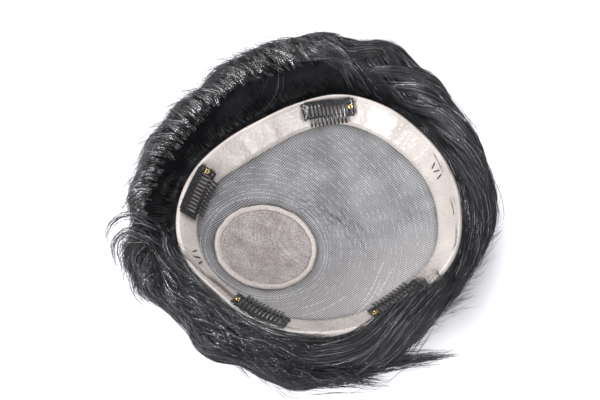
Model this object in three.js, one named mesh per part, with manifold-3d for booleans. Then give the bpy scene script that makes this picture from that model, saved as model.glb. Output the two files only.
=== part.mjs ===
// A clip-in hairpiece that lies on its hair with the base's hollow facing up.
// Millimetres, +Z up, +X along the base's centre line to its wide front end. The piece rests on z = 0.
import * as THREE from "three";
import { mergeVertices } from "three/addons/utils/BufferGeometryUtils.js";
import Module from "manifold-3d";

const wasm = await Module();
wasm.setup();

// Driving dimensions of the base
const BASE_LENGTH = 158.6; // rim, front to back, straight across
const BASE_WIDTH = 141.4; // rim, side to side, straight across
const DOME_DEPTH = 35; // from the rim's plane down to the net's lowest point
const NET_WALL = 1;
const BAND_WALL = 1;
const BAND_FOLD = 4; // how far the band is folded round the rim onto the hair side
const PATCH_WALL = 0.9;
const GAP = 0.3; // between pieces that touch

// Driving dimensions of the crown patch
const PATCH_LENGTH = 59;
const PATCH_WIDTH = 56;
const PATCH_BACK = 33.4; // from the base's centre back to the patch's centre
const PATCH_BORDER = 3.2; // the smooth border's width
const BORDER_RISE = 0.5; // how far the border stands above the patch

// Driving dimensions of a snap clip, which is one stamped spring and its eyelet
const CLIP_LENGTH = 32;
const CLIP_SHEET = 0.6;
const CLIP_BAR = 4.2; // width of the wide outer bar
const CLIP_BOW = 1.8; // width of the narrow bow that the teeth press on
const CLIP_DEPTH = 15.5; // from the bar's outer edge to the tips of the teeth
const CLIP_TAB = 3.8; // width of the sewn tab at each end
const TAB_DEPTH = 11.4; // length of a tab across the band
const SEW_HOLE = 0.75; // radius of a sewing hole
const SEW_INSET = 1.9; // from a tab's end in to the middle of its last hole
const TOOTH_COUNT = 10;
const TOOTH_WIDTH = 1.2;
const TEETH_SPAN = 22.4; // over the outer sides of the first and last tooth
const EYELET_RADIUS = 1.65;
const EYELET_HOLE = 0.65; // radius of the eyelet's own hole
const EYELET_WALL = 0.25;
const EYELET_RISE = 0.5; // height of the rolled head
const CLIP_INSET = 1; // from the rim in to the bar's outer edge

// Driving dimensions of the hair
const HAIR_REACH = 54; // past the rim, at its widest
const HAIR_UNDER = 11; // thickness under the net's lowest point
const CREST_RISE = 9; // above the rim's plane, at its highest
const VALLEY_DROP = 16; // below the rim's plane, between the rim and the crest
const LOCK_COUNT = 24; // locks that the mass is parted into
const LOCK_RIDGE = 6; // how far a lock stands over the groove beside it
const LOCK_SWEEP = 34; // degrees that a lock turns on its way out, at most
const SWEEP_EASE = 1.3; // above 1, a lock starts straight and turns more as it goes
const LOOSE_WIDTH = 11; // of a lock that comes loose from the mass
const LOOSE_THICKNESS = 5;
const LOOSE_STAND = 16; // how far the loosest tip stands off the mass

const FLOOR = -(DOME_DEPTH + NET_WALL + GAP + HAIR_UNDER); // below the rim's plane

// Round the rim, by the angle from the front: the rim's reach as a share of an ellipse of the
// base's length and width, and where the band's inner edge lies on the way from the middle to the rim.
const RIM_ROWS = [
  { at: 0, reach: 0.996, band: 0.838 },
  { at: 20, reach: 0.997, band: 0.825 },
  { at: 40, reach: 1.045, band: 0.818 },
  { at: 60, reach: 1.07, band: 0.822 },
  { at: 80, reach: 1.012, band: 0.815 },
  { at: 100, reach: 0.97, band: 0.806 },
  { at: 120, reach: 0.986, band: 0.806 },
  { at: 140, reach: 1.021, band: 0.842 },
  { at: 160, reach: 1.024, band: 0.872 },
  { at: 180, reach: 0.997, band: 0.876 },
  { at: 200, reach: 0.946, band: 0.885 },
  { at: 220, reach: 0.963, band: 0.872 },
  { at: 240, reach: 0.985, band: 0.86 },
  { at: 260, reach: 1.001, band: 0.852 },
  { at: 280, reach: 1.008, band: 0.85 },
  { at: 300, reach: 1.014, band: 0.855 },
  { at: 320, reach: 1.039, band: 0.86 },
  { at: 340, reach: 1.012, band: 0.85 },
];

// Round the rim, by the angle from the front: how far the hair reaches, how high its crest lies,
// how deep its valley is and how far its locks turn, as shares of the sizes above.
const HAIR_ROWS = [
  { at: 0, reach: 0.47, crest: 0.4, valley: 0.5, sweep: -1 },
  { at: 20, reach: 0.6, crest: 0.7, valley: 0.6, sweep: -0.85 },
  { at: 40, reach: 0.78, crest: 0.9, valley: 0.75, sweep: -0.6 },
  { at: 60, reach: 0.88, crest: 1, valley: 0.85, sweep: -0.3 },
  { at: 80, reach: 1, crest: 1, valley: 0.95, sweep: 0 },
  { at: 100, reach: 0.98, crest: 0.9, valley: 1, sweep: 0.2 },
  { at: 120, reach: 0.86, crest: 0.75, valley: 1, sweep: 0.35 },
  { at: 140, reach: 0.75, crest: 0.5, valley: 1, sweep: 0.5 },
  { at: 160, reach: 0.63, crest: 0.1, valley: 0.95, sweep: 0.65 },
  { at: 180, reach: 0.57, crest: -0.4, valley: 0.75, sweep: 0.8 },
  { at: 200, reach: 0.42, crest: -0.9, valley: 0.7, sweep: 0.95 },
  { at: 220, reach: 0.38, crest: -1.1, valley: 0.65, sweep: 1 },
  { at: 240, reach: 0.42, crest: -1.1, valley: 0.65, sweep: 0.95 },
  { at: 260, reach: 0.46, crest: -0.9, valley: 0.55, sweep: 0.7 },
  { at: 280, reach: 0.4, crest: -0.6, valley: 0.4, sweep: 0.25 },
  { at: 300, reach: 0.28, crest: -0.3, valley: 0.25, sweep: -0.25 },
  { at: 320, reach: 0.3, crest: -0.1, valley: 0.3, sweep: -0.7 },
  { at: 340, reach: 0.42, crest: 0.1, valley: 0.4, sweep: -0.95 },
];

// The section of the hair's mass, from the rim outwards and down: how far out, as a share of its
// reach, its height, as shares of the valley's drop, of the crest's rise and of the floor's depth,
// and how much of a lock's full ridge it has.
const SECTION_ROWS = [
  { out: 0.03, valley: 0.25, crest: 0, floor: 0, ridge: 0 },
  { out: 0.16, valley: 0.85, crest: 0, floor: 0, ridge: 0.3 },
  { out: 0.3, valley: 1, crest: 0, floor: 0, ridge: 0.6 },
  { out: 0.46, valley: 0.5, crest: 0.5, floor: 0, ridge: 0.9 },
  { out: 0.63, valley: 0, crest: 1, floor: 0, ridge: 1 },
  { out: 0.8, valley: 0, crest: 0.85, floor: 0.03, ridge: 1 },
  { out: 0.93, valley: 0, crest: 0.35, floor: 0.2, ridge: 1 },
  { out: 1, valley: 0, crest: 0, floor: 0.45, ridge: 1 },
  { out: 0.97, valley: 0, crest: 0, floor: 0.72, ridge: 0.8 },
  { out: 0.8, valley: 0, crest: 0, floor: 0.95, ridge: 0.2 },
  { out: 0.6, valley: 0, crest: 0, floor: 1, ridge: 0 },
];

// Across one lock: how much it stands up, from its thin side to the edge that drops to the next
const LOCK_PROFILE = [0, 0.75, 1];

// Locks that come loose, in groups round the rim: where the group starts and ends, where on the
// section a lock leaves the mass and where it ends, the degrees it turns and its shares of the sizes.
const LOOSE_GROUPS = [
  { start: 96, end: 140, count: 5, from: 0.35, to: 0.58, turn: 8, stand: 0.35, width: 0.8 },
  { start: 154, end: 172, count: 4, from: 0.4, to: 0.66, turn: 11, stand: 0.9, width: 0.9 },
  { start: 186, end: 238, count: 4, from: 0.45, to: 0.72, turn: 26, stand: 0.3, width: 1 },
  { start: 252, end: 266, count: 2, from: 0.5, to: 0.78, turn: 28, stand: 0.85, width: 1 },
  { start: 350, end: 390, count: 3, from: 0.4, to: 0.7, turn: -28, stand: 0.2, width: 0.9 },
  { start: 54, end: 72, count: 2, from: 0.3, to: 0.55, turn: -12, stand: 0.3, width: 0.9 },
];

// Where the clips sit, by the angle of their middle
const CLIPS = [
  { name: "front_left", at: 66 },
  { name: "back_left", at: 147 },
  { name: "back_right", at: 220 },
  { name: "front_right", at: 288 },
];

const AROUND_STEPS = 48;
const NET_RINGS = [0, 0.16, 0.32, 0.47, 0.61, 0.74, 0.87]; // shares of the way out to the rim
const PATCH_STEPS = 30;
const LOOSE_SIDES = 5;
const LOOSE_STEPS = 5;
const HOLE_SIDES = 6;
const EYELET_SIDES = 8;
const CLIP_FACET = 5; // length of a flat stretch of the arched sheet
const GOLDEN_TURN = Math.PI * (3 - Math.sqrt(5));
const WELD = 1e-4; // vertices nearer than this are one

// The value of a column at any angle, on a smooth closed curve through a table's rows.
function readRows(rows, column, degrees) {
  const spacing = 360 / rows.length;
  const place = THREE.MathUtils.euclideanModulo(degrees, 360) / spacing;
  const row = Math.floor(place);
  const t = place - row;
  const value = (step) => rows[THREE.MathUtils.euclideanModulo(row + step, rows.length)][column];
  const [a, b, c, d] = [value(-1), value(0), value(1), value(2)];
  return b + 0.5 * t * (c - a + t * (2 * a - 5 * b + 4 * c - d + t * (3 * (b - c) + d - a)));
}

function rimRadius(degrees) {
  const angle = THREE.MathUtils.degToRad(degrees);
  const [a, b] = [BASE_LENGTH / 2, BASE_WIDTH / 2];
  const ellipse = (a * b) / Math.hypot(b * Math.cos(angle), a * Math.sin(angle));
  return ellipse * readRows(RIM_ROWS, "reach", degrees);
}

function degreesOf(x, y) {
  return THREE.MathUtils.radToDeg(Math.atan2(y, x));
}

// Height of the net's inner face, below the rim's plane.
function domeHeight(x, y) {
  const share = Math.hypot(x, y) / rimRadius(degreesOf(x, y));
  return -DOME_DEPTH * (1 - share * share);
}

function domeNormal(x, y) {
  const step = 0.01;
  const slopeX = (domeHeight(x + step, y) - domeHeight(x - step, y)) / (2 * step);
  const slopeY = (domeHeight(x, y + step) - domeHeight(x, y - step)) / (2 * step);
  return new THREE.Vector3(-slopeX, -slopeY, 1).normalize();
}

// A point at some height off the net's inner face, on the side where the head goes.
function onDome(x, y, height = 0) {
  return new THREE.Vector3(x, y, domeHeight(x, y)).addScaledVector(domeNormal(x, y), height);
}

function onRay(degrees, share, height = 0) {
  const angle = THREE.MathUtils.degToRad(degrees);
  const reach = rimRadius(degrees) * share;
  return onDome(reach * Math.cos(angle), reach * Math.sin(angle), height);
}

// A share of the way to the rim that lies some millimetres in from it.
function shareInside(degrees, distance) {
  return 1 - distance / rimRadius(degrees);
}

// A closed surface from rings of points. A loop of rings closes on itself, and otherwise the
// first and last ring are closed by flat fans.
function skin(rings, isLoop) {
  const size = rings[0].length;
  const positions = rings.flat().flatMap((p) => [p.x, p.y, p.z]);
  const faces = [];
  const last = isLoop ? rings.length : rings.length - 1;
  for (let i = 0; i < last; i++)
    for (let j = 0; j < size; j++) {
      const [a, b] = [i * size + j, i * size + ((j + 1) % size)];
      const [c, d] = [a, b].map((k) => (k + size) % (rings.length * size));
      faces.push(a, b, d, a, d, c);
    }
  if (!isLoop)
    for (let j = 1; j < size - 1; j++) {
      const end = (rings.length - 1) * size;
      faces.push(0, j + 1, j, end, end + j, end + j + 1);
    }
  return new THREE.BufferGeometry()
    .setAttribute("position", new THREE.Float32BufferAttribute(positions, 3))
    .setIndex(faces);
}

// The rings of a section that is carried round the base's middle.
function around(sectionAt, steps = AROUND_STEPS) {
  return Array.from({ length: steps }, (_, i) => sectionAt((i * 360) / steps));
}

// A three.js geometry as a solid that can be joined and cut, facing outwards.
function solidOf(geometry) {
  const bare = new THREE.BufferGeometry().setAttribute("position", geometry.getAttribute("position"));
  if (geometry.index) bare.setIndex(geometry.index);
  const merged = mergeVertices(bare, WELD);
  const index = Array.from(merged.index.array);
  const kept = [];
  for (let i = 0; i < index.length; i += 3) {
    const [a, b, c] = index.slice(i, i + 3);
    if (a !== b && b !== c && c !== a) kept.push(a, b, c);
  }
  const build = (faces) =>
    new wasm.Manifold(
      new wasm.Mesh({
        numProp: 3,
        vertProperties: merged.attributes.position.array,
        triVerts: new Uint32Array(faces),
      }),
    );
  const made = build(kept);
  return made.volume() >= 0 ? made : build(kept.reverse());
}

function geometryOf(solid) {
  const mesh = solid.getMesh();
  const positions = [];
  for (let i = 0; i < mesh.numVert; i++)
    positions.push(...mesh.vertProperties.slice(i * mesh.numProp, i * mesh.numProp + 3));
  const geometry = new THREE.BufferGeometry()
    .setAttribute("position", new THREE.Float32BufferAttribute(positions, 3))
    .setIndex(Array.from(mesh.triVerts));
  geometry.computeVertexNormals();
  return geometry;
}

function joined(solids) {
  return solids.reduce((whole, solid) => whole.add(solid));
}

// The largest body of a solid, without the pockets closed in between what was joined
function outerBody(solid) {
  return solid.decompose().reduce((most, body) => (body.volume() > most.volume() ? body : most));
}

const MATERIALS = {
  net: new THREE.MeshStandardMaterial({ color: 0x9a9a9c, roughness: 0.75, metalness: 0 }),
  band: new THREE.MeshStandardMaterial({ color: 0xd8cdc0, roughness: 0.35, metalness: 0 }),
  patch: new THREE.MeshStandardMaterial({ color: 0xb9aea8, roughness: 0.7, metalness: 0 }),
  border: new THREE.MeshStandardMaterial({ color: 0xe3d6c9, roughness: 0.45, metalness: 0 }),
  clip: new THREE.MeshStandardMaterial({ color: 0x1b1c1f, roughness: 0.35, metalness: 0.6 }),
  brass: new THREE.MeshStandardMaterial({ color: 0xd0a648, roughness: 0.25, metalness: 1 }),
  hair: new THREE.MeshStandardMaterial({ color: 0x131216, roughness: 0.4, metalness: 0 }),
};

function piece(name, solid, material) {
  const mesh = new THREE.Mesh(geometryOf(solid), material);
  mesh.name = name;
  return mesh;
}

// The net, a thin dome that carries everything
function netDome() {
  const rings = around((degrees) => {
    const all = [...NET_RINGS, shareInside(degrees, BAND_WALL + GAP)];
    const top = all.map((share) => onRay(degrees, share));
    const bottom = all.map((share) => onRay(degrees, share, -NET_WALL));
    return [...top, ...bottom.reverse()];
  });
  return solidOf(skin(rings, true));
}

// The band, folded round the rim: its inner face, the rounded rim and the fold on the hair side
function rimBand() {
  const under = -(NET_WALL + GAP);
  const rings = around((degrees) => {
    const inner = readRows(RIM_ROWS, "band", degrees);
    const middle = (inner + 1) / 2;
    const rim = shareInside(degrees, BAND_WALL);
    const fold = shareInside(degrees, BAND_FOLD);
    return [
      onRay(degrees, inner, GAP),
      onRay(degrees, inner, GAP + BAND_WALL * 0.6),
      onRay(degrees, middle, GAP + BAND_WALL),
      onRay(degrees, rim, GAP + BAND_WALL),
      onRay(degrees, 1, GAP),
      onRay(degrees, 1, under),
      onRay(degrees, rim, under - BAND_WALL),
      onRay(degrees, fold, under - BAND_WALL * 0.7),
      onRay(degrees, fold, under),
      onRay(degrees, rim, under),
      onRay(degrees, rim, GAP),
    ];
  });
  return solidOf(skin(rings, true));
}

// A point of the crown patch: a share of the way from its middle to an oval some way inside its edge
function onPatch(degrees, share, inset, height) {
  const angle = THREE.MathUtils.degToRad(degrees);
  const x = -PATCH_BACK + (PATCH_LENGTH / 2 - inset) * share * Math.cos(angle);
  const y = (PATCH_WIDTH / 2 - inset) * share * Math.sin(angle);
  return onDome(x, y, height);
}

function crownPatch() {
  const shares = [0, 0.35, 0.7, 1];
  const inset = PATCH_BORDER + GAP;
  const rings = around((degrees) => {
    const top = shares.map((share) => onPatch(degrees, share, inset, GAP + PATCH_WALL));
    const bottom = shares.map((share) => onPatch(degrees, share, inset, GAP));
    return [...top, ...bottom.reverse()];
  }, PATCH_STEPS);
  return solidOf(skin(rings, true));
}

function patchBorder() {
  const top = GAP + PATCH_WALL + BORDER_RISE;
  const shoulder = PATCH_BORDER / 4;
  const rings = around(
    (degrees) => [
      onPatch(degrees, 1, 0, GAP),
      onPatch(degrees, 1, 0, GAP + PATCH_WALL / 2),
      onPatch(degrees, 1, shoulder, top),
      onPatch(degrees, 1, PATCH_BORDER - shoulder, top),
      onPatch(degrees, 1, PATCH_BORDER, GAP + PATCH_WALL),
      onPatch(degrees, 1, PATCH_BORDER, GAP),
    ],
    PATCH_STEPS,
  );
  return solidOf(skin(rings, true));
}

// A strip of sheet that follows the clip's arch, from one place to another along and across it.
// The arch is hollow upwards, as the band is. Across is counted from the bar's outer edge.
function archedStrip(arch, alongFrom, alongTo, acrossFrom, acrossTo) {
  const [start, end] = [alongFrom, alongTo].map((along) => along / arch - Math.PI / 2);
  const shape = new THREE.Shape();
  shape.absarc(0, arch, arch, start, end, false);
  shape.absarc(0, arch, arch - CLIP_SHEET, end, start, true);
  const segments = Math.ceil((alongTo - alongFrom) / CLIP_FACET);
  const strip = new THREE.ExtrudeGeometry(shape, {
    depth: acrossTo - acrossFrom,
    bevelEnabled: false,
    curveSegments: segments,
  });
  strip.rotateX(Math.PI / 2).translate(0, acrossTo, 0);
  return solidOf(strip);
}

// Moves a geometry made at the clip's middle along its arch.
function alongArch(geometry, arch, along) {
  return geometry
    .translate(0, 0, -arch)
    .rotateY(-along / arch)
    .translate(0, 0, arch);
}

// A tooth leaves the bar, rises over the bow and curls down at its tip. It is drawn from the
// side, across and up, and is a little thinner than the sheet so that its root lies inside the bar.
function clipTooth(arch, along) {
  const under = CLIP_SHEET + GAP; // the tooth clears the bow
  const root = CLIP_BAR - CLIP_SHEET;
  const over = TAB_DEPTH - CLIP_BOW - CLIP_SHEET;
  const past = TAB_DEPTH + CLIP_SHEET;
  const skim = CLIP_SHEET / 8;
  const side = new THREE.Shape();
  side.moveTo(root, skim);
  side.lineTo(over, under);
  side.lineTo(past, under);
  side.lineTo(CLIP_DEPTH, 0);
  side.lineTo(CLIP_DEPTH, CLIP_SHEET * 0.7);
  side.lineTo(past, under + CLIP_SHEET - skim);
  side.lineTo(over, under + CLIP_SHEET - skim);
  side.lineTo(root, CLIP_SHEET - skim);
  const tooth = new THREE.ExtrudeGeometry(side, { depth: TOOTH_WIDTH, bevelEnabled: false });
  tooth.translate(0, 0, -TOOTH_WIDTH / 2);
  const sideView = new THREE.Matrix4().set(0, 0, 1, 0, 1, 0, 0, 0, 0, 1, 0, 0, 0, 0, 0, 1);
  return solidOf(alongArch(tooth.applyMatrix4(sideView), arch, along));
}

function clipHole(arch, along, across, radius) {
  const through = 6 * CLIP_SHEET;
  const drill = new THREE.CylinderGeometry(radius, radius, through, HOLE_SIDES);
  drill.rotateX(Math.PI / 2).translate(0, across, 0);
  return solidOf(alongArch(drill, arch, along));
}

const TAB_MIDDLE = (CLIP_LENGTH - CLIP_TAB) / 2;
const EYELET_ACROSS = TAB_DEPTH / 2;
const BARREL_RADIUS = EYELET_HOLE + EYELET_WALL;

// The stamped spring: the bar, a tab at each end, the bow and the teeth that pass over it
function clipSpring(arch) {
  const half = CLIP_LENGTH / 2;
  const strips = [
    archedStrip(arch, -half + CLIP_TAB / 2, half - CLIP_TAB / 2, 0, CLIP_BAR),
    archedStrip(arch, -half, -half + CLIP_TAB, CLIP_SHEET, TAB_DEPTH),
    archedStrip(arch, half - CLIP_TAB, half, CLIP_SHEET, TAB_DEPTH),
    archedStrip(arch, -half + CLIP_TAB / 2, half - CLIP_TAB / 2, TAB_DEPTH - CLIP_BOW, TAB_DEPTH),
  ];
  const pitch = (TEETH_SPAN - TOOTH_WIDTH) / (TOOTH_COUNT - 1);
  for (let i = 0; i < TOOTH_COUNT; i++)
    strips.push(clipTooth(arch, (i - (TOOTH_COUNT - 1) / 2) * pitch));
  const outer = CLIP_SHEET + SEW_INSET;
  const inner = TAB_DEPTH - SEW_INSET;
  const holes = [
    clipHole(arch, TAB_MIDDLE, outer, SEW_HOLE),
    clipHole(arch, TAB_MIDDLE, (outer + inner) / 2, SEW_HOLE),
    clipHole(arch, TAB_MIDDLE, inner, SEW_HOLE),
    clipHole(arch, -TAB_MIDDLE, outer, SEW_HOLE),
    clipHole(arch, -TAB_MIDDLE, inner, SEW_HOLE),
    clipHole(arch, -TAB_MIDDLE, EYELET_ACROSS, BARREL_RADIUS + GAP),
  ];
  return joined(strips).subtract(joined(holes));
}

// The eyelet: a barrel through the tab, with a rolled head on top
function clipEyelet(arch) {
  const seat = CLIP_SHEET + GAP;
  const top = seat + EYELET_RISE;
  const profile = [
    [EYELET_HOLE, 0],
    [BARREL_RADIUS, 0],
    [BARREL_RADIUS, seat],
    [EYELET_RADIUS * 0.92, seat],
    [EYELET_RADIUS, seat + EYELET_RISE * 0.4],
    [EYELET_RADIUS * 0.8, top],
    [EYELET_HOLE * 1.4, top - EYELET_RISE * 0.1],
    [EYELET_HOLE, seat + EYELET_RISE * 0.3],
    [EYELET_HOLE, 0],
  ].map(([radius, height]) => new THREE.Vector2(radius, height));
  const turned = new THREE.LatheGeometry(profile, EYELET_SIDES);
  turned.rotateX(Math.PI / 2).translate(0, EYELET_ACROSS, 0);
  return solidOf(alongArch(turned, arch, -TAB_MIDDLE));
}

// Where a clip sits: axes along the rim, in from the rim and off the band, and the clip's arch,
// all worked out from the band's face under it.
function clipSeat(degrees) {
  const face = GAP + BAND_WALL;
  const edge = (offset) => {
    const turned = degrees + THREE.MathUtils.radToDeg(offset / rimRadius(degrees));
    return onRay(turned, shareInside(turned, CLIP_INSET), face);
  };
  const middle = edge(0);
  const along = edge(CLIP_LENGTH / 2).sub(edge(-CLIP_LENGTH / 2));
  const chord = along.length();
  const sagitta = edge(CLIP_LENGTH / 2)
    .add(edge(-CLIP_LENGTH / 2))
    .multiplyScalar(0.5)
    .sub(middle)
    .length();
  const arch = (chord * chord) / (8 * sagitta) + sagitta / 2;
  along.normalize();
  const across = onRay(degrees, shareInside(degrees, CLIP_INSET + CLIP_DEPTH), face).sub(middle);
  across.addScaledVector(along, -across.dot(along)).normalize();
  const off = new THREE.Vector3().crossVectors(along, across);
  return { middle, along, across, off, arch };
}

// How far the clip stands off its seat, so that the whole of it clears the band by the gap.
function clipLift({ middle, along, across, off, arch }, degrees) {
  const face = GAP + BAND_WALL;
  const reach = THREE.MathUtils.radToDeg(CLIP_LENGTH / rimRadius(degrees));
  let lift = 0;
  for (let turn = -1; turn <= 1; turn += 0.1)
    for (let share = 1; share >= readRows(RIM_ROWS, "band", degrees) - 0.02; share -= 0.01) {
      const from = onRay(degrees + turn * reach, share, face).sub(middle);
      const [x, y, z] = [from.dot(along), from.dot(across), from.dot(off)];
      if (Math.abs(x) > CLIP_LENGTH / 2 || y < 0 || y > CLIP_DEPTH) continue;
      lift = Math.max(lift, z - (arch - Math.sqrt(arch * arch - x * x)));
    }
  return lift + GAP;
}

function snapClip({ name, at }) {
  const seat = clipSeat(at);
  const clip = new THREE.Group();
  clip.add(piece(`clip_${name}`, clipSpring(seat.arch), MATERIALS.clip));
  clip.add(piece(`eyelet_${name}`, clipEyelet(seat.arch), MATERIALS.brass));
  clip.quaternion.setFromRotationMatrix(
    new THREE.Matrix4().makeBasis(seat.along, seat.across, seat.off),
  );
  clip.position.copy(seat.middle).addScaledVector(seat.off, clipLift(seat, at));
  return clip;
}

// The section of the hair's mass at one angle, without its locks: points past the rim and which
// way is out of the mass at each.
function hairSection(degrees) {
  const angle = THREE.MathUtils.degToRad(degrees);
  const reach = (HAIR_REACH - LOCK_RIDGE) * readRows(HAIR_ROWS, "reach", degrees);
  const crest = CREST_RISE * readRows(HAIR_ROWS, "crest", degrees) - LOCK_RIDGE;
  const valley = -VALLEY_DROP * readRows(HAIR_ROWS, "valley", degrees);
  const places = SECTION_ROWS.map((row) => ({
    out: row.out * reach,
    height: row.valley * valley + row.crest * crest + row.floor * FLOOR,
  }));
  return places.map(({ out, height }, i) => {
    const before = places[Math.max(i - 1, 0)];
    const after = places[Math.min(i + 1, places.length - 1)];
    const [rise, run] = [after.height - before.height, after.out - before.out];
    const outward = new THREE.Vector3(-rise * Math.cos(angle), -rise * Math.sin(angle), run);
    return { point: pastRim(degrees, out, height), outward: outward.normalize() };
  });
}

function pastRim(degrees, out, height) {
  const angle = THREE.MathUtils.degToRad(degrees);
  const radius = rimRadius(degrees) + out;
  return new THREE.Vector3(radius * Math.cos(angle), radius * Math.sin(angle), height);
}

// How full a lock is, so that no two beside each other are alike
function lockFullness(lock) {
  return 0.72 + 0.28 * Math.sin(lock * GOLDEN_TURN);
}

// The mass, parted into locks that turn away from the parting as they run out and down
function hairMass() {
  const across = LOCK_PROFILE.length;
  const last = SECTION_ROWS.length - 1;
  const rings = around((degrees) => {
    const column = Math.round((degrees * LOCK_COUNT * across) / 360);
    const fullness = lockFullness(Math.floor(column / across));
    const stand = LOCK_RIDGE * LOCK_PROFILE[column % across] * fullness;
    const turn = LOCK_SWEEP * readRows(HAIR_ROWS, "sweep", degrees);
    const points = SECTION_ROWS.map((row, i) => {
      const { point, outward } = hairSection(degrees + turn * (i / last) ** SWEEP_EASE)[i];
      return point.addScaledVector(outward, stand * row.ridge);
    });
    return [new THREE.Vector3(0, 0, -VALLEY_DROP), ...points, new THREE.Vector3(0, 0, FLOOR)];
  }, LOCK_COUNT * across);
  return solidOf(skin(rings, true));
}

// A point on the mass at a share of its section, and the way out of it
function onMass(degrees, share) {
  const section = hairSection(degrees);
  const place = THREE.MathUtils.clamp(share, 0, 1) * (section.length - 1);
  const row = Math.min(Math.floor(place), section.length - 2);
  const [a, b] = [section[row], section[row + 1]];
  return {
    point: a.point.clone().lerp(b.point, place - row),
    outward: a.outward.clone().lerp(b.outward, place - row).normalize(),
  };
}

// A loose lock's fullness along it, most near its start and least at its tip
function readFullness(t) {
  const [start, tip] = [0.25, 0.95];
  return Math.sin(Math.PI * THREE.MathUtils.lerp(start, tip, t));
}

// A loose lock: a flattened tube that leaves the mass, thins out and ends in a lifted tip
function looseLock(group, degrees) {
  const places = Array.from({ length: LOOSE_STEPS + 1 }, (_, i) => {
    const t = i / LOOSE_STEPS;
    const share = THREE.MathUtils.lerp(group.from, group.to, t);
    const { point, outward } = onMass(degrees + group.turn * t ** SWEEP_EASE, share);
    point.addScaledVector(outward, LOOSE_STAND * group.stand * t * t);
    return { point, outward, fullness: readFullness(t) };
  });
  const rings = places.map(({ point, outward, fullness }, i) => {
    const next = places[Math.min(i + 1, LOOSE_STEPS)].point;
    const along = next.clone().sub(places[Math.max(i - 1, 0)].point);
    const side = new THREE.Vector3().crossVectors(along, outward).normalize();
    const up = new THREE.Vector3().crossVectors(side, along).normalize();
    return Array.from({ length: LOOSE_SIDES }, (_, j) => {
      const angle = (2 * Math.PI * j) / LOOSE_SIDES;
      return point
        .clone()
        .addScaledVector(side, (LOOSE_WIDTH / 2) * group.width * fullness * Math.cos(angle))
        .addScaledVector(up, (LOOSE_THICKNESS / 2) * fullness * Math.sin(angle));
    });
  });
  return solidOf(skin(rings, false));
}

function looseLocks() {
  return LOOSE_GROUPS.flatMap((group) =>
    Array.from({ length: group.count }, (_, i) => {
      const t = group.count > 1 ? i / (group.count - 1) : 0;
      return looseLock(group, THREE.MathUtils.lerp(group.start, group.end, t));
    }),
  );
}

// The room of the base itself and everything above it, which the hair leaves free
function baseRoom() {
  const under = -(NET_WALL + GAP);
  const fold = under - BAND_WALL - GAP;
  const rings = around((degrees) => {
    const folded = shareInside(degrees, BAND_FOLD + GAP * 2);
    return [
      ...NET_RINGS.map((share) => onRay(degrees, share, under)),
      onRay(degrees, folded, under),
      onRay(degrees, folded, fold),
      onRay(degrees, shareInside(degrees, -GAP), fold),
      pastRim(degrees, GAP * 3, DOME_DEPTH),
      new THREE.Vector3(0, 0, DOME_DEPTH),
    ];
  });
  return solidOf(skin(rings, true));
}

function hair() {
  const reach = BASE_LENGTH + HAIR_REACH;
  const below = new THREE.BoxGeometry(2 * reach, 2 * reach, reach);
  below.translate(0, 0, FLOOR - reach / 2);
  const whole = joined([hairMass(), ...looseLocks()]);
  return outerBody(whole.subtract(baseRoom()).subtract(solidOf(below)));
}

const toupee = new THREE.Group();
toupee.add(piece("net", netDome(), MATERIALS.net));
toupee.add(piece("rim_band", rimBand(), MATERIALS.band));
toupee.add(piece("crown_patch", crownPatch(), MATERIALS.patch));
toupee.add(piece("patch_border", patchBorder(), MATERIALS.border));
toupee.add(piece("hair", hair(), MATERIALS.hair));
for (const clip of CLIPS) toupee.add(snapClip(clip));

// The piece stands on z = 0 with the middle of its box over the origin.
const box = new THREE.Box3().setFromObject(toupee, true);
const middle = box.getCenter(new THREE.Vector3());
toupee.position.set(-middle.x, -middle.y, -box.min.z);

export default toupee;
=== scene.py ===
"""The looks of a clip-in toupee that lies on its hair with the base's hollow facing up."""

import math

import bmesh
import bpy
import numpy as np
from mathutils import Matrix, Vector
from mathutils.bvhtree import BVHTree


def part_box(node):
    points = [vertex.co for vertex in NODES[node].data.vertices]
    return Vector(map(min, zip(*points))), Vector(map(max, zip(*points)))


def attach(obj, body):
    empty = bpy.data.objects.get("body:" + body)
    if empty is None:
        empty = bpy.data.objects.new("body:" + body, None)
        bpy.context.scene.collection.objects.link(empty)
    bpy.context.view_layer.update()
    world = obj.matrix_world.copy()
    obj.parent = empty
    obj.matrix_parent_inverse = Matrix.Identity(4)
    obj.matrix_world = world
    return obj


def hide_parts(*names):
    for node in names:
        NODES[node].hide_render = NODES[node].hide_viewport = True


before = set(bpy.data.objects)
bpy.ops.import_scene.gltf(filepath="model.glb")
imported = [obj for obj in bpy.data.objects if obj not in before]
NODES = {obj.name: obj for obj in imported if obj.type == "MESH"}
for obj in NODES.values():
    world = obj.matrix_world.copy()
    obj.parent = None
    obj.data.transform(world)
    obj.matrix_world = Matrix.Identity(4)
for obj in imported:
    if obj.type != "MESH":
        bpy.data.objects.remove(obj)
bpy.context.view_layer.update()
MM = 0.001

# The base, as it is cut: millimetres, from the middle of the rim's plane. Angles run
# counterclockwise from its front end.
BASE_LENGTH = 158.6
BASE_WIDTH = 141.4
DOME_DEPTH = 35.0
NET_WALL = 1.0
BAND_WALL = 1.0
GAP = 0.3
BAND_FOLD = 4.0
PATCH_LENGTH = 59.0
PATCH_WIDTH = 56.0
PATCH_BACK = 33.4
PATCH_BORDER = 3.2
PATCH_WALL = 0.9
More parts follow.
